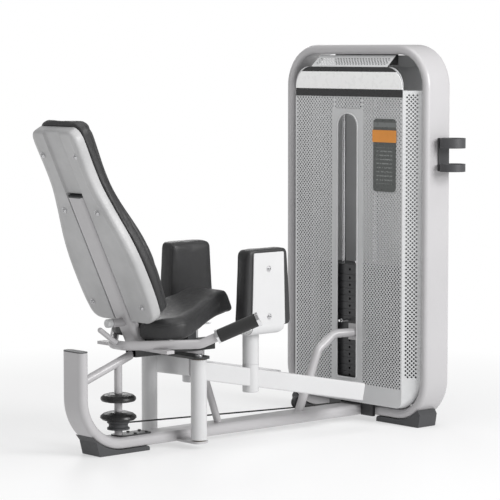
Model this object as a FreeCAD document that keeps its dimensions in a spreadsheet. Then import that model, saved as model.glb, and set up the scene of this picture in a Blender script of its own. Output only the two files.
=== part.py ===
import FreeCAD, Part
import math
import os

from FreeCAD import Vector, Placement, Rotation
import Sketcher

# Hip abductor and adductor machine with a selectorised weight tower, in millimetres.
# +X is the user's right, +Y is the way the user faces (towards the tower) and +Z is up.
# It is modelled with the origin on the floor, in the mid plane, under the tower frame's -Y
# face. Export moves it by datum_back along +Y, which puts the origin under the rear foot.

doc = FreeCAD.newDocument("abductor_machine")
sheet = doc.addObject("Spreadsheet::Sheet", "Dims")

DIMS = [
    # tower frame: a band of flat-oval tube bent to a rounded rectangle
    ("tower_half", 405), ("tower_low", 22), ("tower_top", 1500), ("band_deep", 134),
    ("band_thick", 38), ("corner_radius", 165), ("tube_wall", 3), ("oval_round", 18),
    # base tube, flat-oval, J-shaped
    ("base_wide", 114), ("base_thick", 42), ("base_low", 17), ("base_bend", 180),
    ("base_rear", 1401), ("base_front", 2), ("upright_top", 388), ("base_round", 19),
    # feet
    ("foot_long", 234), ("foot_wide", 96), ("rear_foot_wide", 104), ("foot_rear", 1332),
    # seat structure
    ("strut_dia", 32), ("column_dia", 60), ("column_back", 827), ("column_low", 250),
    ("frame_wide", 60), ("frame_high", 40), ("frame_low", 348), ("frame_rear", 1145),
    ("frame_front", 760),
    # cross plate, arm pivots and outriggers
    ("plate_low", 338), ("plate_thick", 9), ("plate_half", 182), ("plate_wide", 72),
    ("pivot_half", 146), ("pivot_back", 939), ("shaft_radius", 10), ("run_gap", 0.05),
    ("outrigger_low", 21), ("outrigger_thick", 8),
    # swing arms
    ("post_radius", 30), ("post_low", 34), ("post_high", 335), ("post_wall", 3),
    ("arm_high", 68), ("arm_wide", 50), ("arm_length", 744), ("arm_start_z", 294),
    ("arm_drop_deg", 10.7), ("arm_open_deg", 7.8), ("pad_reach", 231),
    # thigh pads
    ("pad_inner", 181), ("pad_thick", 80), ("pad_rear", 800), ("pad_long", 210),
    ("pad_low", 447), ("pad_high", 294), ("pad_post_radius", 31), ("pad_plate_thick", 4),
    # back rest, and the shift of the origin at export
    ("datum_back", 1215), ("back_thick", 56), ("shell_thick", 40), ("spine_wide", 88),
    ("spine_thick", 42), ("back_lean_deg", 25.2),
    # handles
    ("handle_dia", 34), ("grip_dia", 50),
    # weight stack
    ("stack_half", 185), ("stack_deep", 110), ("stack_mid", 33), ("plate_high", 27),
    ("plate_pitch", 28), ("stack_low", 134), ("fixed_count", 9), ("lifted_count", 7),
    ("top_plate_high", 40), ("rod_dia", 19), ("rod_half", 92), ("selector_dia", 24),
    ("pin_dia", 9.5),
    # covers
    ("cover_half", 307), ("cover_front", 35), ("cover_low", 72), ("cover_high", 1413),
    ("sheet_thick", 3), ("bevel_out", 56), ("bevel_back", 50), ("slot_half", 57),
    ("slot_low", 166), ("slot_high", 1229), ("slot_rim_half", 89), ("cover_corner", 92),
    # cable run
    ("drum_radius", 42), ("drum_back", 1205), ("pulley_radius", 45),
    ("low_pulley_radius", 31), ("cable_dia", 6),
]
for row, (alias, value) in enumerate(DIMS, start=1):
    sheet.set("A%d" % row, alias)
    sheet.set("B%d" % row, str(value))
    sheet.setAlias("B%d" % row, alias)
doc.recompute()

GAP = 0.2                   # left where one part rests on another
ROOT_HALF = math.sqrt(0.5)  # sine and cosine of 45 degrees
X, Y, Z = Vector(1, 0, 0), Vector(0, 1, 0), Vector(0, 0, 1)
ALONG_X = Rotation(Y, 90)   # turns an axis along +Z to +X


class Num:
    """A size that knows both its value and the spreadsheet expression it comes from."""

    def __init__(self, value, text):
        self.value, self.text = float(value), text

    @staticmethod
    def of(other):
        return other if isinstance(other, Num) else Num(other, repr(float(other)))

    def _join(self, other, sign, work):
        other = Num.of(other)
        return Num(work(self.value, other.value), "(%s %s %s)" % (self.text, sign, other.text))

    def __add__(self, o): return self._join(o, "+", lambda a, b: a + b)
    def __sub__(self, o): return self._join(o, "-", lambda a, b: a - b)
    def __mul__(self, o): return self._join(o, "*", lambda a, b: a * b)
    def __truediv__(self, o): return self._join(o, "/", lambda a, b: a / b)
    def __radd__(self, o): return Num.of(o) + self
    def __rsub__(self, o): return Num.of(o) - self
    def __rmul__(self, o): return Num.of(o) * self
    def __neg__(self): return Num(0, "0") - self


class PlainSizes:
    """size.alias is the plain number in the sheet."""

    def __getattr__(self, name):
        return float(sheet.get(name))


class BoundSizes:
    """dim.alias is a Num, so what is built with it stays bound to the sheet."""

    def __getattr__(self, name):
        return Num(sheet.get(name), "Dims." + name)


size, dim = PlainSizes(), BoundSizes()


def val(x):
    return x.value if isinstance(x, Num) else float(x)


def vec(pos):
    return Vector(*[val(p) for p in pos])


def bind(obj, prop, x):
    if isinstance(x, Num):
        obj.setExpression(prop, x.text)


PARTS = []


def keep(obj, label):
    """Label a finished piece and list it for export."""
    obj.Label = label
    PARTS.append((label, obj))


# ---- Part objects ----------------------------------------------------------

def primitive(kind, name, pos, rot, sizes):
    o = doc.addObject(kind, name)
    for prop, x in sizes:
        setattr(o, prop, val(x))
        bind(o, prop, x)
    o.Placement = Placement(vec(pos), rot)
    for axis, p in zip("xyz", pos):
        bind(o, "Placement.Base." + axis, p)
    return o


def box(name, x, y, z, lx, ly, lz):
    sizes = (("Length", lx), ("Width", ly), ("Height", lz))
    return primitive("Part::Box", name, (x, y, z), Rotation(), sizes)


def cyl(name, x, y, z, radius, height, rot=Rotation()):
    sizes = (("Radius", radius), ("Height", height))
    return primitive("Part::Cylinder", name, (x, y, z), rot, sizes)


def cut(name, base, tool):
    o = doc.addObject("Part::Cut", name)
    o.Base, o.Tool = base, tool
    return o


def fuse(name, *shapes):
    o = doc.addObject("Part::MultiFuse", name)
    o.Shapes = list(shapes)
    return o


def fillet(name, base, radius, pick):
    doc.recompute()
    o = doc.addObject("Part::Fillet", name)
    o.Base = base
    o.Edges = [(i + 1, radius, radius) for i, e in enumerate(base.Shape.Edges) if pick(e)]
    return o


def group(name, *shapes):
    o = doc.addObject("Part::Compound", name)
    o.Links = list(shapes)
    return o


def shape(name, solid):
    o = doc.addObject("Part::Feature", name)
    o.Shape = solid
    return o


def mirrored(name, base):
    """Copy of an object on the other side of the mid plane."""
    o = doc.addObject("Part::Mirroring", name)
    o.Source = base
    o.Normal = (1, 0, 0)
    o.Base = (0, 0, 0)
    return o


def keep_pair(name, solid, label):
    """Keep a right-hand solid and its mirror image as two pieces."""
    right = shape("right_" + name, solid)
    keep(right, "right_" + label)
    keep(mirrored("left_" + name, right), "left_" + label)


# ---- plain solids ----------------------------------------------------------

def largest(solid):
    return max(solid.Solids, key=lambda q: q.Volume)


def rod_between(start, end, radius):
    way = Vector(*end) - Vector(*start)
    return Part.makeCylinder(radius, way.Length, Vector(*start), way)


def sleeve(outer, inner, length, base, axis=Z):
    """Cylinder with a through bore."""
    return Part.makeCylinder(outer, length, base, axis).cut(
        Part.makeCylinder(inner, length, base, axis))


def prism(corners, sweep):
    return Part.Face(Part.makePolygon(corners + corners[:1])).extrude(sweep)


def prism_x(outline, x0, x1):
    """Prism along X from an outline of (y, z) points."""
    return prism([Vector(x0, y, z) for y, z in outline], X * (x1 - x0))


def both_halves(half):
    """Close a half outline of (half width, station) with its mirror image."""
    return half + [(-a, b) for a, b in reversed(half)]


def both_sides(*solids):
    return [s for right in solids for s in (right, right.mirror(Vector(0, 0, 0), X))]


def bent_tube(points, radius, bend):
    """Round bar swept along straight legs joined by bends of one radius."""
    pts = [Vector(*p) for p in points]
    edges, last = [], pts[0]
    for before, corner, after in zip(pts, pts[1:], pts[2:]):
        way1, way2 = before - corner, after - corner
        way1.normalize()
        way2.normalize()
        half = math.acos(max(-1, min(1, way1.dot(way2)))) / 2
        setback = bend / math.tan(half)
        start, end = corner + way1 * setback, corner + way2 * setback
        bisector = way1 + way2
        bisector.normalize()
        middle = corner + bisector * (bend / math.sin(half) - bend)
        edges.append(Part.LineSegment(last, start).toShape())
        edges.append(Part.Arc(start, middle, end).toShape())
        last = end
    edges.append(Part.LineSegment(last, pts[-1]).toShape())
    profile = Part.Wire([Part.Circle(pts[0], pts[1] - pts[0], radius).toShape()])
    return Part.Wire(edges).makePipeShell([profile], True, False)


def dome_bolt(pos, axis, shank=3.6):
    """Socket-head bolt with a washer on a face; the shank goes back along -axis."""
    head_radius, head_high = 8.5, 6.0
    washer_radius, washer_high = 11.0, 1.6
    socket_radius, socket_floor = 3.2, 2.4
    shank_radius, stand_off = 5.0, 0.05
    foot = pos + axis * stand_off
    bolt = Part.makeCylinder(washer_radius, washer_high, foot, axis)
    bolt = bolt.fuse(Part.makeCone(head_radius, head_radius * 0.62, head_high,
                                   foot + axis * washer_high, axis))
    bolt = bolt.cut(Part.makeCylinder(socket_radius, head_high,
                                      foot + axis * (washer_high + socket_floor), axis))
    bolt = bolt.fuse(Part.makeCylinder(shank_radius, shank, foot - axis * shank, axis))
    return bolt.removeSplitter()


# ---- PartDesign helpers ----------------------------------------------------

def new_body(name):
    return doc.addObject("PartDesign::Body", name)


def sketch_on(body, role, name, offset=0):
    """Sketch on an origin plane; the XZ plane's normal, and so its offset, is along -Y."""
    s = body.newObject("Sketcher::SketchObject", name)
    plane = [f for f in body.Origin.OriginFeatures if f.Role == role][0]
    s.AttachmentSupport = (plane, [""])
    s.MapMode = "FlatFace"
    if offset != 0:
        s.AttachmentOffset = Placement(Vector(0, 0, val(offset)), Rotation())
        bind(s, "AttachmentOffset.Base.z", offset)
    return s


def constrain(s, kind, args, x):
    """Add a dimension to a sketch and bind it to the sheet if it comes from there."""
    k = s.addConstraint(Sketcher.Constraint(kind, *(args + (val(x),))))
    bind(s, "Constraints[%d]" % k, x)


def locate(s, item, point, x, y):
    """Hold a point of a sketch item by its distances from the origin."""
    constrain(s, "DistanceX", (-1, 1, item, point), x)
    constrain(s, "DistanceY", (-1, 1, item, point), y)


def polygon(s, pts):
    n = len(pts)
    flat = [vec((a, b, 0)) for a, b in pts]
    for i in range(n):
        s.addGeometry(Part.LineSegment(flat[i], flat[(i + 1) % n]), False)
    for i in range(n):
        s.addConstraint(Sketcher.Constraint("Coincident", i, 2, (i + 1) % n, 1))
    for i, (a, b) in enumerate(pts):
        locate(s, i, 1, a, b)


def rect(x0, x1, y0, y1):
    return [(x0, y0), (x1, y0), (x1, y1), (x0, y1)]


def round_rect(s, half, low, high, radius):
    """Rectangle about the vertical axis with four equal round corners."""
    first = s.GeometryCount
    cx = half - radius
    centres = [(cx, low + radius), (cx, high - radius), (-cx, high - radius),
               (-cx, low + radius)]
    for i, (a, b) in enumerate(centres):
        circle = Part.Circle(vec((a, b, 0)), Z, val(radius))
        s.addGeometry(Part.ArcOfCircle(circle, math.radians(-90 + 90 * i),
                                       math.radians(90 * i)), False)
    h, lo, hi, c, r = [val(q) for q in (half, low, high, cx, radius)]
    for a, b in (((h, lo + r), (h, hi - r)), ((c, hi), (-c, hi)),
                 ((-h, hi - r), (-h, lo + r)), ((-c, lo), (c, lo))):
        s.addGeometry(Part.LineSegment(Vector(*a, 0), Vector(*b, 0)), False)
    for i in range(4):
        side, following = first + 4 + i, first + (i + 1) % 4
        s.addConstraint(Sketcher.Constraint("Tangent", first + i, 2, side, 1))
        s.addConstraint(Sketcher.Constraint("Tangent", side, 2, following, 1))
    for i, (a, b) in enumerate(centres):
        locate(s, first + i, 3, a, b)
        constrain(s, "Radius", (first + i,), radius)


def disc(s, x, y, radius):
    i = s.addGeometry(Part.Circle(vec((x, y, 0)), Z, val(radius)), False)
    locate(s, i, 3, x, y)
    constrain(s, "Radius", (i,), radius)


def pad(body, s, name, length, rev=False, mid=False):
    p = body.newObject("PartDesign::Pad", name)
    p.Profile = s
    p.Length = val(length)
    bind(p, "Length", length)
    p.Reversed, p.Midplane = rev, mid
    return p


def pocket(body, s, name, length, rev=False):
    doc.recompute()
    before = body.Shape.Volume
    p = body.newObject("PartDesign::Pocket", name)
    p.Profile = s
    p.Length = val(length)
    bind(p, "Length", length)
    p.Reversed = rev
    doc.recompute()
    if body.Shape.Volume > before - 1e-3:
        raise RuntimeError("pocket %s removed nothing" % name)


def round_edges(body, base, name, radius, pick):
    doc.recompute()
    names = ["Edge%d" % (i + 1) for i, e in enumerate(base.Shape.Edges) if pick(e)]
    f = body.newObject("PartDesign::Fillet", name)
    f.Base = (base, names)
    f.Radius = val(radius)
    bind(f, "Radius", radius)
    doc.recompute()


def along(edge, axis):
    """True for a straight edge parallel to the axis."""
    if not isinstance(edge.Curve, Part.Line):
        return False
    return abs(abs(edge.tangentAt(edge.FirstParameter).dot(axis)) - 1) < 1e-6


def turned(name, outline, pos, rot=Rotation()):
    """Body turned about its local Z from an outline of (radius, height) points."""
    body = new_body(name + "_body")
    s = sketch_on(body, "XZ_Plane", name + "_profile")
    polygon(s, outline)
    turn = body.newObject("PartDesign::Revolution", name + "_turn")
    turn.Profile = s
    turn.ReferenceAxis = (s, ["V_Axis"])
    turn.Angle = 360
    body.Placement = Placement(vec(pos), rot)
    return body


def drilled_plate(name, z, outline, thick, corner, pick, holes):
    """Level plate with rounded upright edges and through holes of (x, y, radius)."""
    body = new_body(name)
    s = sketch_on(body, "XY_Plane", name + "_outline", z)
    polygon(s, outline)
    p = pad(body, s, name + "_pad", thick)
    round_edges(body, p, name + "_corners", corner, pick)
    s = sketch_on(body, "XY_Plane", name + "_holes", z)
    for x, y, radius in holes:
        disc(s, x, y, radius)
    pocket(body, s, name + "_bores", thick, rev=True)
    return body


# ==== tower frame ===========================================================
wall = dim.tube_wall


def ring(name, grow, deep, start, edge_round):
    """Rounded rectangular band set in by grow on every face, with rounded rims."""
    half, low, top = dim.tower_half, dim.tower_low, dim.tower_top
    thick, corner = dim.band_thick, dim.corner_radius
    body = new_body(name)
    s = sketch_on(body, "XZ_Plane", name + "_outer", -start)
    round_rect(s, half - grow, low + grow, top - grow, corner - grow)
    round_rect(s, half - thick + grow, low + thick - grow, top - thick + grow,
               corner - thick + grow)
    p = pad(body, s, name + "_pad", deep, rev=True)
    ends = (val(start), val(start) + val(deep))
    round_edges(body, p, name + "_rims", edge_round,
                lambda e: e.BoundBox.YLength < 0.01
                and any(abs(e.CenterOfMass.y - y) < 0.01 for y in ends))
    return body


band = ring("band_outside", 0, dim.band_deep, 0, dim.oval_round)
hollow = ring("band_inside", wall, dim.band_deep - 2 * wall, wall, dim.oval_round - wall)
# small hole through the bottom wall into the hollow
vent = cyl("band_vent", 0, dim.band_deep / 2, dim.tower_low - 5, 4, 14)
keep(cut("tower_frame_cut", cut("tower_frame_hollow", band, hollow), vent), "tower_frame")


# ==== feet ==================================================================
def foot_arc(across, height, radius, side):
    """Points of the hollow upper edge of a foot, from the low end outwards."""
    angles = [math.radians(2 + 43.0 * k / 8) for k in range(9)]
    return [(across + side * radius * math.sin(a), height - radius * math.cos(a))
            for a in angles]


# wedges under the two lower corners of the tower; the outline is (x, z)
foot_inner = 128
foot_start = 4      # y of the face nearest the user
body = new_body("tower_foot_right")
s = sketch_on(body, "XZ_Plane", "tower_foot_profile", -dim.foot_wide - foot_start)
polygon(s, [(foot_inner, 0), (foot_inner + dim.foot_long, 0), (371, 50)]
        + foot_arc(240.0, 187.0, 165.6, 1)[::-1] + [(134, 21.4), (foot_inner, 14)])
p = pad(body, s, "tower_foot_pad", dim.foot_wide)
round_edges(body, p, "tower_foot_round", 4,
            lambda e: along(e, Y) and e.CenterOfMass.x > 355)
keep(group("tower_feet_pair", body, mirrored("tower_foot_left", body)), "tower_feet")

# wedge under the bend of the base tube; the outline is (y, z)
body = new_body("rear_foot_body")
s = sketch_on(body, "YZ_Plane", "rear_foot_profile")
polygon(s, [(-1098, 0), (-1098, 11), (-1104, 16.6)]
        + foot_arc(-1221.0, 218.0, 201.6, -1) + [(-1346, 54), (-dim.foot_rear, 0)])
p = pad(body, s, "rear_foot_pad", dim.rear_foot_wide, mid=True)
round_edges(body, p, "rear_foot_round", 4,
            lambda e: along(e, X) and e.CenterOfMass.y < -1325 and e.CenterOfMass.z < 60)
keep(body, "rear_foot")

# ==== base tube =============================================================
base_wide, base_thick = dim.base_wide, dim.base_thick
base_top = dim.base_low + base_thick


def base_path(body, name):
    """J-shaped centre line: along the floor towards -Y, a bend, then straight up."""
    s = sketch_on(body, "YZ_Plane", name)
    front, rear, bend, top = size.base_front, size.base_rear, size.base_bend, size.upright_top
    mid_height = dim.base_low + base_thick / 2
    z = val(mid_height)
    s.addGeometry(Part.LineSegment(Vector(-front, z, 0), Vector(-rear + bend, z, 0)), False)
    s.addGeometry(Part.ArcOfCircle(Part.Circle(Vector(-rear + bend, z + bend, 0), Z, bend),
                                   math.pi, 1.5 * math.pi), False)
    s.addGeometry(Part.LineSegment(Vector(-rear, z + bend, 0), Vector(-rear, top, 0)), False)
    s.addConstraint(Sketcher.Constraint("Tangent", 0, 2, 1, 2))
    s.addConstraint(Sketcher.Constraint("Tangent", 1, 1, 2, 1))
    s.addConstraint(Sketcher.Constraint("Horizontal", 0))
    constrain(s, "DistanceX", (0, 1, -1, 1), dim.base_front)
    constrain(s, "DistanceY", (-1, 1, 0, 1), mid_height)
    constrain(s, "DistanceX", (2, 2, -1, 1), dim.base_rear)
    constrain(s, "DistanceY", (-1, 1, 2, 2), dim.upright_top)
    constrain(s, "Radius", (1,), dim.base_bend)
    return s


def base_sweep(body, kind, name, side_inset, inset):
    """Sweep the tube's rectangle, set in at the sides and at top and bottom."""
    s = sketch_on(body, "XZ_Plane", name + "_profile", dim.base_front)
    polygon(s, rect(-base_wide / 2 + side_inset, base_wide / 2 - side_inset,
                    dim.base_low + inset, base_top - inset))
    path = base_path(body, name + "_path")
    sweep = body.newObject(kind, name + "_pipe")
    sweep.Profile, sweep.Spine = s, path
    doc.recompute()
    return sweep


body = new_body("base_tube_body")
pipe = base_sweep(body, "PartDesign::AdditivePipe", "base", 0, 0)
round_edges(body, pipe, "base_edges", dim.base_round,
            lambda e: abs(abs(e.CenterOfMass.x) - size.base_wide / 2) < 0.01
            and e.Length > 60)
base_sweep(body, "PartDesign::SubtractivePipe", "base_bore", 12, wall)
keep(body, "base_tube")

# cap with a plug in the open top of the upright
upright_face = -dim.base_rear - base_thick / 2
cap = box("end_cap_blank", -base_wide / 2, upright_face, dim.upright_top + GAP,
          base_wide, base_thick, 4)
cap = fillet("end_cap_round", cap, size.base_round, lambda e: along(e, Z))
plug = box("end_cap_plug", -base_wide / 2 + 13, upright_face + wall + 1, dim.upright_top - 14,
           base_wide - 26, base_thick - 2 * wall - 2, 15)
keep(fuse("end_cap_fused", cap, plug), "base_end_cap")

# what would reach into the base tube from above
base_block = Part.makeBox(300, 900, 60, Vector(-150, -950, val(base_top) + GAP - 60))

# ==== seat support structure ================================================
# sloping tube from the rear upright to the seat frame
slope_ends = ((0, -1400, 262), (0, -1090, 375))
strut_radius = size.strut_dia / 2
slope = rod_between(*slope_ends, strut_radius)
upright_y = -size.base_rear + size.base_thick / 2 + 0.5
slope = slope.cut(Part.makeBox(200, 60, 600, Vector(-100, upright_y - 60, 0)))
slope = slope.cut(Part.makeBox(200, 400, 600, Vector(-100, -size.frame_rear + 0.5, 340)))
slope = slope.cut(Part.makeBox(200, 100, 90, Vector(-100, -size.frame_rear - 0.6, 347.2)))
keep(shape("seat_strut_tube", slope), "seat_strut")

# upright post under the sloping tube; it carries the cable drum
drum_y = -size.drum_back
drum_post_radius = 15
post = rod_between((0, drum_y, val(base_top) + 4.6), (0, drum_y, 335), drum_post_radius)
post = post.cut(rod_between(*slope_ends, strut_radius + 0.1))
keep(shape("pulley_post_tube", largest(post)), "pulley_post")

# domed disc on the post: (radius, z)
DISC = [(15.2, 187), (50, 187), (62, 190), (66.5, 197), (65, 204), (56, 212), (40, 217),
        (22, 219), (15.2, 219)]
keep(turned("post_disc", DISC, (0, drum_y, 0)), "post_disc")

# column under the seat, with a diagonal strut up to it from the base
strut = rod_between((0, -714, 40), (0, -800, 275), 14).cut(base_block)
strut = strut.cut(Part.makeCylinder(size.column_dia / 2 - 0.5, 200,
                                    Vector(0, -size.column_back, size.column_low + 0.5)))
column = cyl("seat_column_tube", 0, -dim.column_back, dim.column_low, dim.column_dia / 2,
             dim.frame_low - dim.column_low - GAP)
keep(fuse("seat_column_weldment", column, shape("front_strut_tube", largest(strut))),
     "seat_column")

frame_wall = 3
frame_long = dim.frame_rear - dim.frame_front
outer = box("seat_frame_outer", -dim.frame_wide / 2, -dim.frame_rear, dim.frame_low,
            dim.frame_wide, frame_long, dim.frame_high)
inner = box("seat_frame_inner", -dim.frame_wide / 2 + frame_wall, -dim.frame_rear - 1,
            dim.frame_low + frame_wall, dim.frame_wide - 2 * frame_wall, frame_long + 2,
            dim.frame_high - 2 * frame_wall)
keep(cut("seat_frame_tube", outer, inner), "seat_frame")
frame_top = size.frame_low + size.frame_high

# ==== arm pivots ============================================================
pivot_half, pivot_y, shaft_radius = dim.pivot_half, -dim.pivot_back, dim.shaft_radius

# plate that holds the tops of both pivots
keep(drilled_plate("cross_plate_body", dim.plate_low,
                   rect(-dim.plate_half, dim.plate_half,
                        pivot_y - dim.plate_wide / 2, pivot_y + dim.plate_wide / 2),
                   dim.plate_thick, 26, lambda e: along(e, Z),
                   [(pivot_half, pivot_y, shaft_radius),
                    (-pivot_half, pivot_y, shaft_radius)]), "cross_plate")

# plates beside the base tube under the pivots
outrigger = drilled_plate("outrigger_right", dim.outrigger_low,
                          rect(base_wide / 2 + 0.5, pivot_half + 28,
                               pivot_y - 33, pivot_y + 33),
                          dim.outrigger_thick, 22,
                          lambda e: along(e, Z) and e.CenterOfMass.x > 100,
                          [(pivot_half, pivot_y, shaft_radius)])
keep(group("outriggers", outrigger, mirrored("outrigger_left", outrigger)),
     "pivot_outriggers")

# shafts from the outriggers to round heads on the cross plate
plate_top = dim.plate_low + dim.plate_thick
shaft = cyl("pivot_shaft_bar", pivot_half, pivot_y, dim.outrigger_low, shaft_radius,
            plate_top - dim.outrigger_low)
head = cyl("pivot_shaft_head", pivot_half, pivot_y, plate_top, 15, 7)
head = fillet("pivot_head_round", head, 3, lambda e: e.CenterOfMass.z > val(plate_top) + 5)
shaft = fuse("pivot_shaft_right", shaft, head)
keep(group("pivot_shaft_pair", shaft, mirrored("pivot_shaft_left", shaft)), "pivot_shafts")

# ==== swing arms: the right one, mirrored for the left ======================
open_angle = math.radians(size.arm_open_deg)
drop_angle = math.radians(size.arm_drop_deg)
arm_way = Vector(math.sin(open_angle), math.cos(open_angle), 0)
pivot = Vector(size.pivot_half, -size.pivot_back, 0)
pad_foot = pivot + arm_way * size.pad_reach     # floor point under the pad post
arm_turn = Rotation(Z, -size.arm_open_deg).multiply(Rotation(X, -size.arm_drop_deg))
arm_wall = size.post_wall
bore_radius = size.post_radius - arm_wall
slope_long = size.arm_length / math.cos(drop_angle)

# socket where the pad post drops through the beam
beam_z = size.arm_start_z - size.pad_reach * math.tan(drop_angle)
sock_low = beam_z - size.arm_high / 2 - 22
sock_high = beam_z + size.arm_high / 2 + 16
sock_floor = 6


def arm_box(inset, start, length, corner=None):
    """Box along the sloping arm, set in from the beam's section."""
    wide, high = size.arm_wide - 2 * inset, size.arm_high - 2 * inset
    solid = Part.makeBox(wide, length, high, Vector(-wide / 2, start, -high / 2))
    if corner:
        solid = solid.makeFillet(corner, [e for e in solid.Edges if along(e, Y)])
    solid.Placement = Placement(pivot + Z * size.arm_start_z, arm_turn)
    return solid


def swing_arm():
    beam_start, hollow_start = 12, 20
    beam = arm_box(0, beam_start, slope_long - beam_start, corner=5)
    beam_hollow = arm_box(arm_wall, hollow_start, slope_long - hollow_start - arm_wall)
    post_long, post_foot = size.post_high - size.post_low, pivot + Z * size.post_low
    tube = Part.makeCylinder(size.post_radius, post_long, post_foot)
    tube_bore = Part.makeCylinder(bore_radius, post_long, post_foot)
    sock = Part.makeCylinder(size.pad_post_radius, sock_high - sock_low,
                             pad_foot + Z * sock_low)
    sock = sock.makeFillet(4, [e for e in sock.Edges if isinstance(e.Curve, Part.Circle)
                               and e.CenterOfMass.z < sock_low + 1])
    sock_bore = Part.makeCylinder(24.05, sock_high - sock_low - sock_floor,
                                  pad_foot + Z * (sock_low + sock_floor))
    arm = beam.fuse(tube).fuse(sock).cut(beam_hollow.cut(sock))
    arm = arm.cut(tube_bore).cut(sock_bore).removeSplitter()
    # round opening between the hollow of the beam and the bore of the post
    vent = Part.makeCylinder(6, 40, pivot + arm_way * 15 + Z * (size.arm_start_z - 3),
                             arm_way + Vector(0, 0, -0.19))
    return largest(arm.cut(vent))


keep_pair("arm_weldment", swing_arm(), "arm")

# bushings in both ends of the post, and a flange ring just above it
bush_bore, bush_long = size.shaft_radius + size.run_gap, 26
bushes = [sleeve(bore_radius, bush_bore, bush_long, pivot + Z * z)
          for z in (size.post_low, size.post_high - bush_long)]
bushes.append(sleeve(22, bush_bore, 2.0, pivot + Z * (size.post_high + 0.1)))
keep_pair("arm_bushes", Part.makeCompound(bushes), "arm_bushings")

# ==== thigh pads ============================================================
pad_outer = size.pad_inner + size.pad_thick
pad_y0, pad_y1 = -size.pad_rear, -size.pad_rear + size.pad_long
pad_low, pad_top = size.pad_low, size.pad_low + size.pad_high
cushion = prism_x([(pad_y0 - 4, pad_low), (pad_y1 + 14, pad_low + 12),
                   (pad_y1 - 8, pad_top - 4), (pad_y0 + 12, pad_top)],
                  size.pad_inner, pad_outer)
cushion = cushion.makeFillet(26, [e for e in cushion.Edges if along(e, X)])
cushion = cushion.makeFillet(8, [e for e in cushion.Edges
                                 if abs(e.BoundBox.XMin - e.BoundBox.XMax) < 1e-6])
keep_pair("pad_soft", cushion, "pad_cushion")

bracket_x = pad_outer + 0.3     # inner face of the bracket plate
bracket_thick = size.pad_plate_thick
PAD_BOLTS = [(-697, 666), (-694, 487)]      # (y, z)


def bent_skirt(floor_z):
    """Sheet that turns from the bracket plate in under the cushion, towards the arm."""
    bend = 30.0
    top_z = 456
    inner_x = size.pivot_half + math.sin(open_angle) * size.pad_reach - 34
    centre_x, centre_z = bracket_x - bend, floor_z + bracket_thick + bend

    def bend_points(radius):
        return [Vector(centre_x + radius, 0, centre_z),
                Vector(centre_x + radius * ROOT_HALF, 0, centre_z - radius * ROOT_HALF),
                Vector(centre_x, 0, centre_z - radius)]

    outside, inside = bend_points(bend + bracket_thick), bend_points(bend)[::-1]
    top_in = Vector(bracket_x, 0, top_z)
    top_out = Vector(bracket_x + bracket_thick, 0, top_z)
    end_low = Vector(inner_x, 0, floor_z)
    end_high = Vector(inner_x, 0, floor_z + bracket_thick)
    edges = [Part.LineSegment(top_in, top_out), Part.LineSegment(top_out, outside[0]),
             Part.Arc(*outside), Part.LineSegment(outside[2], end_low),
             Part.LineSegment(end_low, end_high), Part.LineSegment(end_high, inside[0]),
             Part.Arc(*inside), Part.LineSegment(inside[2], top_in)]
    wire = Part.Wire(Part.__sortEdges__([e.toShape() for e in edges]))
    skirt = Part.Face(wire).extrude(Vector(0, 156, 0))
    skirt.translate(Vector(0, -775, 0))
    # (y, z) side outline that tapers the skirt
    return skirt.common(prism_x([(-790, 470), (-790, 440), (-760, 405), (-650, 405),
                                 (-606, 446), (-606, 470)], 100, 300))


def pad_bracket():
    plate = prism_x([(-778, 452), (-615, 455), (-622, 727), (-770, 727)],
                    bracket_x, bracket_x + bracket_thick)
    plate = plate.makeFillet(6, [e for e in plate.Edges
                                 if along(e, X) and e.CenterOfMass.z > 700])
    skirt_z = 418.0
    post_z = sock_high + 0.6
    post = Part.makeCylinder(size.pad_post_radius, skirt_z - sock_high - 0.6,
                             pad_foot + Z * post_z)
    stem = Part.makeCylinder(24.0, sock_high - sock_low - 8, pad_foot + Z * (sock_low + 7.5))
    bracket = plate.fuse(bent_skirt(skirt_z)).fuse(post).fuse(stem)
    for y, z in PAD_BOLTS:
        bracket = bracket.cut(Part.makeCylinder(5.5, 20, Vector(pad_outer - 5, y, z), X))
    return largest(bracket.removeSplitter())


keep_pair("pad_plate", pad_bracket(), "pad_bracket")
bolts = [dome_bolt(Vector(bracket_x + bracket_thick, y, z), X) for y, z in PAD_BOLTS]
keep_pair("pad_fixings", Part.makeCompound(bolts), "pad_bolts")

# ==== seat ==================================================================
# side outline (y, z): the top sweeps up towards +Y
SEAT_TOP = [(-1180, 476), (-1140, 481), (-1110, 487), (-1050, 494), (-1000, 502),
            (-940, 522), (-880, 546), (-820, 566), (-780, 574), (-745, 577)]
SEAT_LOW = [(-712, 507), (-722, 498), (-752, 493), (-800, 484), (-860, 466), (-920, 446),
            (-980, 430), (-1050, 423), (-1120, 421), (-1190, 424), (-1200, 450)]
SEAT_UNDERSIDE = SEAT_LOW[1:-1]
# plan outline (half width, y)
SEAT_PLAN = [(82, -705), (101, -760), (122, -850), (150, -930), (182, -1000),
             (196, -1050), (176, -1095), (140, -1130), (96, -1150)]

# frame of the back: x is +X, y is out of the back towards the user, z is up the back
back_frame = Placement(Vector(0, -1154, 418), Rotation(X, size.back_lean_deg))
spine_wide, spine_thick = size.spine_wide, size.spine_thick


def seat_prism(width_share):
    """Upright prism over the seat's plan, with its width scaled."""
    corners = [Vector(x * width_share, y, 380) for x, y in both_halves(SEAT_PLAN)]
    return prism(corners, Z * 260)


# room for the spine at the -Y end of the seat
notch = Part.makeBox(spine_wide + 4, spine_thick + 80, 400,
                     Vector(-spine_wide / 2 - 2, -78, -80))
notch.Placement = back_frame
seat = prism_x(SEAT_LOW + SEAT_TOP, -230, 230).common(seat_prism(1)).cut(notch)
keep(shape("seat_soft", seat), "seat_cushion")


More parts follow.
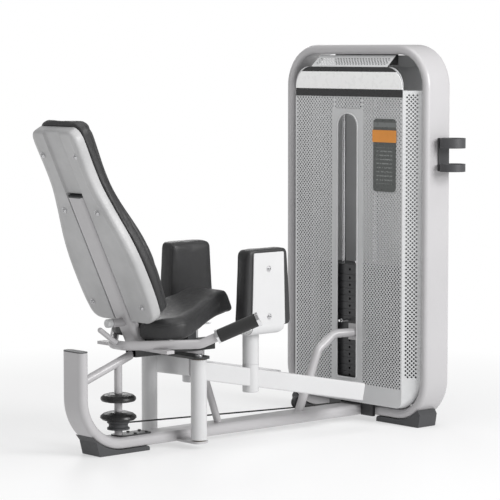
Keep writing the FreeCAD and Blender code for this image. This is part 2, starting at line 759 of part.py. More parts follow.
def seat_board():
    """Board that follows the cushion's underside, on three blocks over the seat frame."""
    top_gap, thick = 0.4, 12
    top = [(y, z - top_gap) for y, z in SEAT_UNDERSIDE]
    low = [(y, z - top_gap - thick) for y, z in reversed(SEAT_UNDERSIDE)]
    board = prism_x(top + low, -230, 230).common(seat_prism(0.5))
    board = largest(board.common(Part.makeBox(600, 600, 400, Vector(-300, -1100, 300))))
    above = prism_x([(-1300, 700), (-600, 700)] + [(y, z - 1.0) for y, z in SEAT_UNDERSIDE]
                    + [(-1300, 423)], -300, 300)
    wide, deep = 50, 40
    for y, high in ((-1078, 32), (-1000, 32), (-870, 90)):
        block = Part.makeBox(wide, deep, high, Vector(-wide / 2, y - deep / 2, frame_top + GAP))
        board = board.fuse(block.cut(above))
    return largest(board.cut(notch).removeSplitter())


keep(shape("seat_board_panel", seat_board()), "seat_board")

# ==== spine =================================================================
spine_long = 584.0
spine_round = 18
pull_pin_at = Vector(0, -1233.0, 480.0)     # -Y end of the pull pin's housing


def spine_tube():
    tube = Part.makeBox(spine_wide, spine_thick, spine_long + 40,
                        Vector(-spine_wide / 2, 0, -40))
    tube = tube.makeFillet(spine_round, [e for e in tube.Edges if along(e, Z)])
    tube = tube.cut(Part.makeBox(spine_wide - 24, spine_thick - 6, spine_long + 80,
                                 Vector(-spine_wide / 2 + 12, 3, -60)))
    tube.Placement = back_frame
    tube = tube.cut(Part.makeBox(400, 400, 200, Vector(-200, -1300, frame_top + 0.3 - 200)))
    # housing of the start-position pull pin, through the -Y wall of the spine
    tube = tube.fuse(Part.makeCylinder(16, 65, pull_pin_at, Y))
    tube = tube.cut(Part.makeCylinder(6.08, 20, pull_pin_at - Y, Y))
    return largest(tube.removeSplitter())


keep(shape("spine_tube_bar", spine_tube()), "spine_tube")

cap = Part.makeBox(spine_wide, spine_thick, 5, Vector(-spine_wide / 2, 0, spine_long + GAP))
cap = cap.makeFillet(spine_round, [e for e in cap.Edges if along(e, Z)])
cap = cap.fuse(Part.makeBox(spine_wide - 26, spine_thick - 8, 18,
                            Vector(-spine_wide / 2 + 13, 4, spine_long - 16)))
cap.Placement = back_frame
keep(shape("spine_cap_plug", cap), "spine_cap")

# ==== back rest, built in the frame of the back =============================
# outline (half width, height along the back)
SHELL = [(110, 64), (150, 70), (180, 90), (193, 125), (198, 180), (200, 250), (197, 330),
         (182, 415), (153, 520), (131, 615), (127, 700), (130, 790), (123, 830), (100, 850)]
CUSHION = [(x - 4, z + 4) for x, z in SHELL[:12]] + [(118, 838), (98, 862)]
BACK_BOLTS = [(97, 752), (-97, 752), (97, 527), (-97, 527), (146, 139.5), (-146, 139.5)]
shell_y = 6.0
cushion_y = shell_y + size.shell_thick + 0.5


def back_prism(half, y, thick):
    return prism([Vector(x, y, z) for x, z in both_halves(half)], Y * thick)


def backrest_shell():
    shell = back_prism(SHELL, shell_y, size.shell_thick)
    # channel around the spine, and a shallow groove on above it
    wide, corner_x = spine_wide + 1.0, -spine_wide / 2 - 0.5
    channel = Part.makeBox(wide, spine_thick - shell_y + 1.0, 640,
                           Vector(corner_x, shell_y - 0.5, -40))
    channel = channel.makeFillet(14, [e for e in channel.Edges if along(e, Z)
                                      and e.CenterOfMass.y > shell_y + 5])
    groove = Part.makeBox(wide, 9, 400, Vector(corner_x, shell_y - 0.5, 560))
    shell = shell.cut(channel).cut(groove)
    for x, z in BACK_BOLTS:
        shell = shell.cut(Part.makeCylinder(5.6, 60, Vector(x, shell_y - 5, z), Y))
    shell = shell.removeSplitter()
    shell.Placement = back_frame
    return shell


keep(shape("backrest_shell_panel", backrest_shell()), "backrest_shell")

cushion = back_prism(CUSHION, cushion_y, size.back_thick)
face_y = cushion_y + size.back_thick - 1.5      # just inside the face towards the user
cushion = cushion.makeFillet(10, [e for e in cushion.Edges if e.BoundBox.YMin > face_y
                                  and e.BoundBox.YLength < 1e-3])
cushion.Placement = back_frame
keep(shape("backrest_soft", cushion), "backrest_cushion")

bolts = [dome_bolt(Vector(x, shell_y - 0.05, z), Vector(0, -1, 0), shank=26)
         for x, z in BACK_BOLTS]
for bolt in bolts:
    bolt.Placement = back_frame
keep(shape("backrest_fixings", Part.makeCompound(bolts)), "backrest_bolts")

# ==== handles ===============================================================
handle_radius, grip_radius = size.handle_dia / 2, size.grip_dia / 2
# centre line of the right half, from the mid plane to the tip
HANDLE = [(0, -1202, 396), (34, -1202, 396), (252, -1020.5, 408.7), (396, -864.5, 501.7)]


def handle_frame():
    handle = Part.makeCompound([])
    right, left = both_sides(bent_tube(HANDLE, handle_radius, 42))
    handle = right.fuse(left).removeSplitter()
    # round-ended tail that rises behind the spine from the middle of the handle
    tail_foot, tail_way = Vector(0, -1205, 398), Vector(0, -82, 60).normalize()
    tail_long, tail_radius = 101.6, 10
    tail = Part.makeCylinder(tail_radius, tail_long, tail_foot, tail_way)
    tail = tail.fuse(Part.makeSphere(tail_radius, tail_foot + tail_way * tail_long))
    handle = handle.fuse(tail)
    # two lugs beside the seat frame
    lug_long, lug_start = 176, size.frame_wide / 2 + GAP
    for x in (-lug_start - lug_long, lug_start):
        handle = handle.fuse(Part.makeBox(lug_long, 36, 11.8, Vector(x, -1142, 376)))
    return largest(handle.removeSplitter())


keep(shape("handle_tube", handle_frame()), "handle_frame")

# grips near the tips, with a collar at each end; the outer collar closes the tip
tip = Vector(*HANDLE[-1])
tip_way = tip - Vector(*HANDLE[-2])
tip_way.normalize()
grip_long = 150.0
grip_start = tip - tip_way * (grip_long + 8)
grip_bore, collar_radius = handle_radius + 0.15, grip_radius + 1
grip = sleeve(grip_radius, grip_bore, grip_long, grip_start, tip_way)
grip = grip.makeFillet(3, [e for e in grip.Edges if isinstance(e.Curve, Part.Circle)
                           and abs(e.Curve.Radius - grip_radius) < 0.1])
keep(shape("hand_grip_sleeves", Part.makeCompound(both_sides(grip))), "hand_grips")

inner_collar = sleeve(collar_radius, grip_bore, 8.6, grip_start - tip_way * 9, tip_way)
end_start = tip - tip_way * 7.6
end_collar = Part.makeCylinder(collar_radius, 10.8, end_start, tip_way)
end_collar = end_collar.cut(Part.makeCylinder(grip_bore, 7.75, end_start, tip_way))
keep(shape("grip_collar_rings", Part.makeCompound(both_sides(inner_collar, end_collar))),
     "grip_collars")

# start-position pull pin behind the seat: a knob with its stem in the spine's housing
stem_radius, knob_long = 6.0, 26
stem = Part.makeCylinder(stem_radius, 17, pull_pin_at + Y, Y)
knob = Part.makeCylinder(16, knob_long, pull_pin_at - Y * (0.6 + knob_long), Y)
knob = knob.makeFillet(5, [e for e in knob.Edges if isinstance(e.Curve, Part.Circle)])
neck = Part.makeCylinder(stem_radius, 6, pull_pin_at - Y * 3, Y)
knob = stem.fuse(knob).fuse(neck).removeSplitter()
keep(shape("start_pin_knob_turned", largest(knob)), "start_pin")

# ==== brace tube from the base to the tower =================================
GUIDE_PULLEY_AT = (-28, -286, 88)
BRACE = [(0, -303, 50), (0, -196, 292), (4, -112, 350), (37, -27, 352)]


def brace_tube():
    brace = bent_tube(BRACE, 17.5, 55).cut(base_block)
    flange = Part.makeBox(100, 3.2, 66, Vector(-2, -26.6, 320))
    stub = Part.makeCylinder(6, 30, Vector(-10, *GUIDE_PULLEY_AT[1:]), Vector(-1, 0, 0))
    brace = brace.cut(Part.makeBox(200, 60, 200, Vector(-60, -24, 250)))
    return largest(brace.fuse(flange).fuse(stub).removeSplitter())


keep(shape("brace_weldment", brace_tube()), "brace_tube")

# ==== weight stack ==========================================================
stack_mid, stack_low, rod_half = dim.stack_mid, dim.stack_low, dim.rod_half
rod_radius, pitch = dim.rod_dia / 2, dim.plate_pitch
stack_front = stack_mid - dim.stack_deep / 2    # y of the -Y face
fixed_count, lifted_count = int(size.fixed_count), int(size.lifted_count)
plate_count = fixed_count + lifted_count
SIDES = ((1, "right"), (-1, "left"))


def weight_plate(name, z, slack, high):
    """One plate with guide rod bores, a selector bore and a pin hole in its -Y face."""
    body = drilled_plate(name, z,
                         rect(-dim.stack_half, dim.stack_half,
                              stack_front, stack_mid + dim.stack_deep / 2),
                         high, 10, lambda e: along(e, Z),
                         [(rod_half, stack_mid, rod_radius + slack),
                          (-rod_half, stack_mid, rod_radius + slack),
                          (0, stack_mid, dim.selector_dia / 2 + 1)])
    s = sketch_on(body, "XZ_Plane", name + "_pin_hole", -stack_front + 1)
    disc(s, 0, z + high / 2, dim.pin_dia / 2 + 0.5)
    pocket(body, s, name + "_pin_cut", 60)
    return body


def plate_set(first, count):
    """Copies of the lowest plate, counted up from the bottom of the stack."""
    plates = []
    for i in range(first, first + count):
        plate = lowest.Shape.copy()
        plate.translate(Z * (i * val(pitch)))
        plates.append(plate)
    return Part.makeCompound(plates)


lowest = weight_plate("stack_plate", stack_low, 1.2, dim.plate_high)
doc.recompute()
keep(shape("fixed_plate_set", plate_set(0, fixed_count)), "fixed_plates")
keep(shape("lifted_plate_set", plate_set(fixed_count, lifted_count)), "lifted_plates")
top_plate_z = stack_low + pitch * plate_count
keep(weight_plate("top_plate_body", top_plate_z, 0.08, dim.top_plate_high), "top_plate")

# selector rod through the stack, cross-drilled at every plate
mid_y = size.stack_mid
first_hole_z = size.stack_low + size.plate_high / 2
selected_z = first_hole_z + fixed_count * size.plate_pitch
selector_radius, pin_radius = size.selector_dia / 2, size.pin_dia / 2
rod_top = val(top_plate_z) + size.top_plate_high + 0.3


def selector_rod():
    rod_low, head_high = 150, 12
    rod = Part.makeCylinder(selector_radius, rod_top - rod_low, Vector(0, mid_y, rod_low))
    rod = rod.fuse(Part.makeCylinder(24, head_high, Vector(0, mid_y, rod_top)))
    rod = rod.fuse(Part.makeCylinder(9, 26, Vector(0, mid_y, rod_top + head_high)))
    # bore down the axis to just above the selected plate
    rod = rod.cut(Part.makeCylinder(3.6, 400, Vector(0, mid_y, selected_z + 16)))
    for i in range(plate_count):
        hole_at = Vector(0, mid_y - 30, first_hole_z + i * size.plate_pitch)
        rod = rod.cut(Part.makeCylinder(pin_radius + 0.4, 60, hole_at, Y))
    return rod.removeSplitter()


keep(shape("selector_rod_bar", selector_rod()), "selector_rod")

pin_face = val(stack_front)
pin = Part.makeCylinder(pin_radius, 62 + selector_radius + 40,
                        Vector(0, pin_face - 58, selected_z), Y)
pin = pin.fuse(Part.makeCylinder(6.5, 34, Vector(0, pin_face - 46, selected_z), Y))
keep(shape("selector_pin_bar", pin.removeSplitter()), "selector_pin")

# guide rods on blocks that lie on the lower bar of the frame, with bumpers round them
bar_top = dim.tower_low + dim.band_thick
rod_low = bar_top + 16.2
rods, blocks, bumpers = [], [], []
for side, word in SIDES:
    x = rod_half * side
    rods.append(cyl("guide_rod_" + word, x, stack_mid, rod_low, rod_radius, 1414 - rod_low))
    slab = box("rod_block_top_" + word, x - 33.5, -14, bar_top + GAP, 67, 84, 15.8)
    lip = box("rod_block_lip_" + word, x - 33.5, -14, dim.tower_low - 2,
              67, 13.8, dim.band_thick + 18)
    blocks.append(fuse("rod_block_" + word, slab, lip))
    outer = cyl("bumper_out_" + word, x, stack_mid, bar_top + 16.4, 24,
                stack_low - bar_top - 16.8)
    inner = cyl("bumper_in_" + word, x, stack_mid, bar_top + 16, rod_radius + 0.3, 60)
    bumpers.append(cut("bumper_" + word, outer, inner))
keep(group("guide_rod_pair", *rods), "guide_rods")
keep(group("rod_block_pair", *blocks), "rod_foot_blocks")
keep(group("bumper_pair", *bumpers), "stack_bumpers")

# ==== head bracket, pulleys and axles =======================================
axle_radius = 6
axle_bore_x, axle_bore_long = -30, 60
pulley_radius, low_radius = dim.pulley_radius, dim.low_pulley_radius
top_y, top_z = stack_mid + pulley_radius, 1360
low_y = stack_mid + 2 * pulley_radius - low_radius
low_z = bar_top + 7 + low_radius


def axle_bore(name, y, z):
    return cyl(name, axle_bore_x, y, z, axle_radius, axle_bore_long, ALONG_X)


# block under the top bar that holds the guide rods and the top pulley
web_low = 1420
web = box("head_web", -130, 18, web_low, 260, 98,
          dim.tower_top - dim.band_thick - web_low - GAP)
web = cut("head_cut", web, box("head_slot", -16, 12, 1400, 32, 110, 80))
bosses = [box("head_rod_boss_" + word, rod_half * side - 18, stack_mid - 16, 1402, 36, 32, 19)
          for side, word in SIDES]
ears = [box("head_ear_" + word, x, 50, 1330, 6, 56, 100)
        for x, word in ((16.2, "right"), (-22.2, "left"))]
bores = [cyl("head_rod_bore_" + word, rod_half * side, stack_mid, 1400, rod_radius + 0.15, 18)
         for side, word in SIDES]
bores.append(axle_bore("head_axle_bore", top_y, top_z))
keep(cut("head_bracket_cut", fuse("head_full", web, *(bosses + ears)),
         fuse("head_bores", *bores)), "head_bracket")


def pulley(name, groove, half, pos):
    """Grooved pulley on an axis along X; groove is the radius at the groove's floor."""
    bore, rim = axle_radius + size.run_gap, groove + 4
    outline = [(bore, -half), (rim, -half), (rim, -half + 2.5), (groove, -1.5),
               (groove, 1.5), (rim, half - 2.5), (rim, half), (bore, half)]
    return turned(name, outline, pos, ALONG_X)


keep(pulley("head_pulley", pulley_radius - 3, 9, (0, top_y, top_z)), "top_pulley")
keep(pulley("low_pulley", low_radius - 3, 9, (0, low_y, low_z)), "base_pulley")

ears = []
for x, word in ((-22, "left"), (16, "right")):
    ear = box("low_ear_" + word, x, low_y - 24, bar_top + GAP, 6, 48, 62)
    ears.append(cut("low_ear_cut_" + word, ear, axle_bore("low_bore_" + word, low_y, low_z)))
keep(group("low_bracket_pair", *ears), "base_pulley_bracket")
axles = [cyl(name, -24, y, z, axle_radius, 48, ALONG_X)
         for name, y, z in (("top_axle", top_y, top_z), ("low_axle", low_y, low_z))]
keep(group("axle_pair", *axles), "pulley_axles")


# ==== cable =================================================================
def cable():
    """Up from the selector rod, over the top pulley, down on the stack's +Y side, round
    the base pulley, then along the base past the guide pulley to the drum."""
    radius = size.cable_dia / 2
    over, under = size.pulley_radius, size.low_pulley_radius
    start = Vector(0, mid_y, rod_top + 16)
    turn_z = top_z + 0.5
    far_y = mid_y + 2 * over
    near_y, turn_low = far_y - under, val(low_z)
    rise_end, fall_start = Vector(0, mid_y, turn_z), Vector(0, far_y, turn_z)
    fall_end = Vector(0, far_y, turn_low)
    low_middle = Vector(0, near_y + under * ROOT_HALF, turn_low - under * ROOT_HALF)
    low_end = Vector(0, near_y, turn_low - under)
    path = [Part.LineSegment(start, rise_end),
            Part.Arc(rise_end, Vector(0, mid_y + over, turn_z + over), fall_start),
            Part.LineSegment(fall_start, fall_end),
            Part.Arc(fall_end, low_middle, low_end)]
    profile = Part.Wire([Part.Circle(start, Z, radius).toShape()])
    line = Part.Wire([e.toShape() for e in path]).makePipeShell([profile], True, False)
    stations = [tuple(low_end), (*GUIDE_PULLEY_AT[:2], low_end.z),
                (-(size.drum_radius - 3), drum_y, 99)]
    for begin, end in zip(stations, stations[1:]):
        line = line.fuse(rod_between(begin, end, radius))
        line = line.fuse(Part.makeSphere(radius, Vector(*begin)))
    return largest(line)


keep(shape("cable_line", cable()), "cable")
keep(pulley("brace_pulley", 18, 8, GUIDE_PULLEY_AT), "guide_pulley")

# ==== cable drum on the post ================================================
# base plate with four round heads
plate = box("drum_plate_bar", -34, -dim.drum_back - 15.5, base_top + GAP, 68, 150, 4.2)
plate = fillet("drum_plate_round", plate, 14, lambda e: along(e, Z))
heads = [cyl("drum_plate_head_%d" % i, x, -dim.drum_back + ahead, base_top + 4, 6, 5)
         for i, (x, ahead) in enumerate([(-22, 62), (-22, 116), (22, 62), (22, 116)])]
keep(fuse("drum_plate_fused", plate, *heads), "post_base_plate")

# turned outlines (radius, height)
drum_bore = drum_post_radius + size.run_gap
drum_radius = dim.drum_radius
drum_floor = drum_radius - 6.3
DRUM = [(drum_bore, -18), (drum_radius, -18), (drum_radius, -12), (drum_floor, -8),
        (drum_floor, 2), (drum_radius, 6), (drum_radius, 15), (drum_bore, 15)]
DRUM_COVER = [(drum_bore, 0), (48, 0), (60, 3), (68, 11), (66, 18), (56, 26), (38, 32),
              (drum_bore, 34)]
keep(turned("drum", DRUM, (0, drum_y, 102)), "cable_drum")
keep(turned("drum_dome", DRUM_COVER, (0, drum_y, 117.2)), "drum_cover")

# ==== covers ================================================================
cover_half, cover_front = dim.cover_half, dim.cover_front
cover_low, cover_high = dim.cover_low, dim.cover_high
slot_half, slot_low, slot_high = dim.slot_half, dim.slot_low, dim.slot_high


def cover(name):
    """Sheet cover: flat face with round upper corners, side bevels and a top bevel."""
    out, back = dim.bevel_out, dim.bevel_back
    body = new_body(name)
    s = sketch_on(body, "XZ_Plane", name + "_face", cover_front)
    polygon(s, rect(-cover_half, cover_half, cover_low, cover_high))
    face = pad(body, s, name + "_face_pad", dim.sheet_thick, rev=True)
    round_edges(body, face, name + "_corners", dim.cover_corner,
                lambda e: along(e, Y) and e.CenterOfMass.z > 1000)
    bevel_low, bevel_high = cover_low + 90, cover_high - 96
    for side, word in SIDES:
        s = sketch_on(body, "XY_Plane", name + "_bevel_" + word, bevel_low)
        polygon(s, [(side * (cover_half - 2), -cover_front),
                    (side * (cover_half + out), -cover_front + back),
                    (side * (cover_half + out - 2), -cover_front + back + 2),
                    (side * (cover_half - 2), -cover_front + 3)])
        pad(body, s, name + "_bevel_pad_" + word, bevel_high - bevel_low)
    s = sketch_on(body, "YZ_Plane", name + "_top")
    polygon(s, [(-cover_front, cover_high - 2), (-cover_front + back, cover_high + 46),
                (-cover_front + back + 2, cover_high + 44),
                (-cover_front + 3, cover_high - 2)])
    pad(body, s, name + "_top_pad", 400, mid=True)
    doc.recompute()
    return body


# the front cover, towards the user, has a slot with a chamfered top
front_cover = cover("front_cover_sheet")
s = sketch_on(front_cover, "XZ_Plane", "front_slot", cover_front + 1)
slot_arch = [(slot_half, slot_low), (slot_half, slot_high - 40),
             (slot_half - 17, slot_high - 11), (slot_half - 45, slot_high)]
polygon(s, slot_arch + [(-x, z) for x, z in reversed(slot_arch)])
pocket(front_cover, s, "front_slot_cut", 8)
keep(front_cover, "front_cover")

rear_cover = cover("rear_cover_sheet")
rear_cover.Placement = Placement(Vector(0, size.band_deep, 0), Rotation(Z, 180))
keep(rear_cover, "rear_cover")

# thin panels on the front cover
panel_thick = 2
panel_y = -cover_front - panel_thick - GAP
rim_half = dim.slot_rim_half
rim = box("slot_rim_outer", -rim_half, panel_y, slot_low - 24,
          2 * rim_half, panel_thick, slot_high - slot_low + 42)
rim = fillet("slot_rim_corner", rim, 12, lambda e: along(e, Y))
opening = box("slot_rim_inner", -slot_half, -cover_front - 4, slot_low,
              2 * slot_half, 6, slot_high - slot_low)
opening = fillet("slot_rim_arch", opening, 54,
                 lambda e: along(e, Y) and e.CenterOfMass.z > 1000)
keep(cut("slot_rim_frame", rim, opening), "slot_rim")

label_low = 1295
panel = box("label_blank", -cover_half + 2, panel_y, label_low,
            2 * cover_half - 4, panel_thick, cover_high - label_low)
panel = fillet("label_round", panel, 90, lambda e: along(e, Y) and e.CenterOfMass.z > 1400)
keep(panel, "label_panel")
panel = box("placard_blank", 146, panel_y, 924, 124, panel_thick, 286)
keep(fillet("placard_round", panel, 16, lambda e: along(e, Y)), "placard")


# ==== bottle holder on the right of the tower ===============================
def bottle_holder():
    """Plate on the tower's side with two hoops and an open floor ring."""
    side_x = size.tower_half + 0.4
    plate_thick, holder_low, radius = 7, 1009, 50
    plate = Part.makeBox(plate_thick, 58, 130, Vector(side_x, 58, holder_low))
    plate = plate.makeFillet(3, [e for e in plate.Edges if along(e, X)])
    axis = Vector(side_x + plate_thick + radius - 4, 87, 0)
    holder = plate
    # (base height, height, inner radius)
    for z, high, inner in ((1100, 39, 45), (holder_low, 30, 45), (holder_low, 5, 22)):
        holder = holder.fuse(sleeve(radius, inner, high, axis + Z * z))
    return largest(holder.removeSplitter())


keep(shape("bottle_holder_moulding", bottle_holder()), "bottle_holder")

# ==== export ================================================================
doc.recompute()
bad = [o.Name for o in doc.Objects if "Invalid" in o.State or "Error" in o.State]
if bad:
    raise RuntimeError("failed objects: %s" % bad)
os.makedirs("parts", exist_ok=True)
for old in os.listdir("parts"):
    if old.endswith(".step"):
        os.remove(os.path.join("parts", old))
for label, obj in PARTS:
    solid = obj.Shape.copy()
    solid.translate(Vector(0, size.datum_back, 0))
    if solid.isNull() or not solid.isValid() or not solid.Solids:
        raise RuntimeError("bad shape: %s" % label)
    solid.exportStep("parts/%s.step" % label)
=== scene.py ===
"""Seated thigh machine: seat, leaning back rest and two thigh pads, with a weight-stack tower.

The frame comes from CAD; this script adds upholstery, back shell, tower covers, trim and looks.
Metres, +Z up, +X to the user's right. The user sits at low Y and looks along +Y at the tower.
New pieces are drawn with y = 0 at the tower front, then moved by SHIFT onto the frame.
"""

import math
from functools import cached_property

import bmesh
import bpy
from mathutils import Matrix, Vector
from mathutils.kdtree import KDTree

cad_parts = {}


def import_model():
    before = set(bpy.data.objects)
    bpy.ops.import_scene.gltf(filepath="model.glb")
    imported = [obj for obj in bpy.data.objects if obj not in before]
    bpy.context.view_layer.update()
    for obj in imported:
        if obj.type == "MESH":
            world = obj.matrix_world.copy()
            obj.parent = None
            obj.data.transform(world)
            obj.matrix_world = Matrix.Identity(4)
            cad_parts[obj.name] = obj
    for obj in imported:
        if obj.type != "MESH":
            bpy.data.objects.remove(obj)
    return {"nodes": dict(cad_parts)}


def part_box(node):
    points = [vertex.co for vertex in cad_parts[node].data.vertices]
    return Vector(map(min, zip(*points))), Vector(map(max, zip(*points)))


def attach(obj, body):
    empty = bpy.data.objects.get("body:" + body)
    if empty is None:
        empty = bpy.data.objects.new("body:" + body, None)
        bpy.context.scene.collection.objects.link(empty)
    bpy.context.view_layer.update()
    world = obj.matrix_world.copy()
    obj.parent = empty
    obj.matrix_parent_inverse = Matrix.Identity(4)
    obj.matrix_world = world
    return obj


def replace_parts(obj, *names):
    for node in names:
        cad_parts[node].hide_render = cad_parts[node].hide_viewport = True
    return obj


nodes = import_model()["nodes"]
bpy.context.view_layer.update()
scene = bpy.context.scene
SHIFT = Vector((0, 1.215, 0))
pieces = []


# ---------------------------------------------------------------- material kit
def feed(socket, value):
    """Gives a socket a number, a colour or a link."""
    if isinstance(value, (int, float)):
        socket.default_value = value
    elif isinstance(value, (tuple, list)):
        socket.default_value = (*value[:3], 1.0)
    else:
        socket.id_data.links.new(value, socket)


class Mat:
    """A procedural material; each method adds a node and returns its output."""

    INPUTS = {"color": "Base Color", "roughness": "Roughness", "metallic": "Metallic",
              "normal": "Normal", "coat": "Coat Weight", "coat_roughness": "Coat Roughness",
              "sheen": "Sheen Weight", "specular": "Specular IOR Level"}

    def __init__(self, name):
        self.material = bpy.data.materials.new(name)
        self.material.use_nodes = True
        self.tree = self.material.node_tree
        self.shader = self.tree.nodes["Principled BSDF"]

    @cached_property
    def coords(self):
        return self.node("ShaderNodeTexCoord").outputs["Object"]

    def node(self, kind, **settings):
        node = self.tree.nodes.new(kind)
        for key, value in settings.items():
            setattr(node, key, value)
        return node

    def noise(self, scale, detail=3.0, roughness=0.55, vector=None):
        node = self.node("ShaderNodeTexNoise")
        node.inputs["Scale"].default_value = scale
        node.inputs["Detail"].default_value = detail
        node.inputs["Roughness"].default_value = roughness
        feed(node.inputs["Vector"], vector or self.coords)
        return node.outputs["Fac"]

    def voronoi(self, scale, feature):
        node = self.node("ShaderNodeTexVoronoi", feature=feature)
        node.inputs["Scale"].default_value = scale
        feed(node.inputs["Vector"], self.coords)
        return node.outputs["Distance"]

    def remap(self, source, span, to):
        node = self.node("ShaderNodeMapRange")
        node.inputs["From Min"].default_value, node.inputs["From Max"].default_value = span
        node.inputs["To Min"].default_value, node.inputs["To Max"].default_value = to
        feed(node.inputs["Value"], source)
        return node.outputs["Result"]

    def vary(self, noise, low, high):
        """Spreads the usual range of a noise over low..high."""
        return self.remap(noise, span=(0.3, 0.7), to=(low, high))

    def calc(self, operation, first, second):
        node = self.node("ShaderNodeMath", operation=operation)
        feed(node.inputs[0], first)
        feed(node.inputs[1], second)
        return node.outputs[0]

    def times(self, first, second):
        return self.calc("MULTIPLY", first, second)

    def above(self, value, limit):
        return self.calc("GREATER_THAN", value, limit)

    def below(self, value, limit):
        return self.calc("LESS_THAN", value, limit)

    def mix(self, factor, first, second):
        node = self.node("ShaderNodeMix", data_type="RGBA")
        for index, value in ((0, factor), (6, first), (7, second)):
            feed(node.inputs[index], value)
        return node.outputs[2]

    def bump(self, height, strength, distance, under=None):
        node = self.node("ShaderNodeBump")
        node.inputs["Strength"].default_value = strength
        node.inputs["Distance"].default_value = distance
        feed(node.inputs["Height"], height)
        if under is not None:
            feed(node.inputs["Normal"], under)
        return node.outputs["Normal"]

    def axes(self):
        node = self.node("ShaderNodeSeparateXYZ")
        feed(node.inputs[0], self.coords)
        return node.outputs

    def set(self, **values):
        for key, value in values.items():
            feed(self.shader.inputs[self.INPUTS[key]], value)
        return self.material


def shade(color, factor):
    return tuple(min(1.0, x * factor) for x in color)


def paint(name, color, roughness=0.34, coat=0.25, wear=0.10):
    """Speckled paint, lighter on worn edges, with painted shade darkening the concave corners."""
    m = Mat(name)
    blotches = m.noise(scale=3.1, detail=4)
    specks = m.noise(scale=1400, detail=1)
    tone = m.mix(m.vary(blotches, 0, 1), shade(color, 0.965), shade(color, 1.03))
    tone = m.mix(m.remap(specks, span=(0.42, 0.62), to=(0, 0.16)), tone, shade(color, 1.22))
    pointiness = m.node("ShaderNodeNewGeometry").outputs["Pointiness"]
    edges = m.remap(pointiness, span=(0.53, 0.62), to=(0, wear))
    # painted shade: concave corners, found by pointiness, are darkened towards 0.55 of the colour
    painted_corner_shade = m.remap(pointiness, span=(0.47, 0.40), to=(0, 0.22))
    tone = m.mix(edges, tone, shade(color, 1.35))
    # the painted corner shade is laid into the colour here
    tone = m.mix(painted_corner_shade, tone, shade(color, 0.55))
    gloss = m.vary(m.noise(scale=38, detail=4), roughness - 0.05, roughness + 0.07)
    peel = m.bump(m.noise(scale=520, detail=2), strength=0.05, distance=0.0006)
    return m.set(color=tone, roughness=gloss, coat=coat, coat_roughness=0.18, normal=peel)


def vinyl(name, color):
    """Embossed cells with fine pores and broad wrinkles."""
    m = Mat(name)
    cells = m.voronoi(scale=620, feature="DISTANCE_TO_EDGE")
    wrinkles = m.noise(scale=26, detail=5, roughness=0.6)
    pores = m.noise(scale=1900, detail=2)
    folds = m.remap(wrinkles, span=(0.32, 0.7), to=(0, 1))
    tone = m.mix(folds, shade(color, 0.90), shade(color, 1.12))
    tone = m.mix(m.remap(cells, span=(0.0, 0.10), to=(0.35, 0)), tone, shade(color, 0.55))
    emboss = m.remap(cells, span=(0, 0.22), to=(0, 1))
    normal = m.bump(emboss, strength=0.30, distance=0.00035)
    normal = m.bump(pores, strength=0.10, distance=0.0002, under=normal)
    normal = m.bump(wrinkles, strength=0.07, distance=0.0014, under=normal)
    gloss = m.vary(m.noise(scale=60), 0.40, 0.54)
    return m.set(color=tone, roughness=gloss, normal=normal, sheen=0.08, specular=0.46)


def plastic(name, color, roughness=0.5, grain=0.16, scale=1300):
    m = Mat(name)
    tone = m.mix(m.vary(m.noise(scale=7), 0, 1), shade(color, 0.9), shade(color, 1.12))
    normal = m.bump(m.noise(scale, detail=2), strength=grain, distance=0.0003)
    gloss = m.vary(m.noise(scale=90), roughness - 0.06, roughness + 0.08)
    return m.set(color=tone, roughness=gloss, normal=normal)


def foam(name, color):
    m = Mat(name)
    pits = m.voronoi(scale=900, feature="F1")
    depth = m.remap(pits, span=(0.1, 0.6), to=(0, 1))
    tone = m.mix(depth, shade(color, 1.5), shade(color, 0.8))
    normal = m.bump(pits, strength=0.45, distance=0.0006)
    lumps = m.noise(scale=160, detail=4)
    normal = m.bump(lumps, strength=0.2, distance=0.0008, under=normal)
    return m.set(color=tone, roughness=0.82, normal=normal, sheen=0.15)


def metal(name, color, roughness, brushed=False):
    m = Mat(name)
    if brushed:
        stretch = m.node("ShaderNodeMapping")
        stretch.inputs["Scale"].default_value = (40, 40, 1200)
        feed(stretch.inputs["Vector"], m.coords)
        grain = m.noise(scale=1.0, detail=4, roughness=0.6, vector=stretch.outputs["Vector"])
    else:
        grain = m.noise(scale=70, detail=4)
    gloss = m.vary(grain, roughness - 0.05, roughness + 0.09)
    normal = m.bump(grain, strength=0.03, distance=0.0003)
    tone = m.mix(m.vary(m.noise(scale=9), 0, 1), shade(color, 0.93), color)
    return m.set(color=tone, roughness=gloss, metallic=1.0, normal=normal)


def label_material(name):
    """Black panel with one white band across it."""
    band_bottom, band_top = 1.3255, 1.3935
    white, black = (0.94, 0.94, 0.935), (0.012, 0.012, 0.013)
    m = Mat(name)
    z = m.axes()["Z"]
    tone = m.mix(m.above(z, band_bottom), black, white)
    tone = m.mix(m.above(z, band_top), tone, black)
    gloss = m.vary(m.noise(scale=45, detail=5), 0.22, 0.36)
    normal = m.bump(m.noise(scale=700, detail=2), strength=0.04, distance=0.0004)
    return m.set(color=tone, roughness=gloss, normal=normal, coat=0.3)


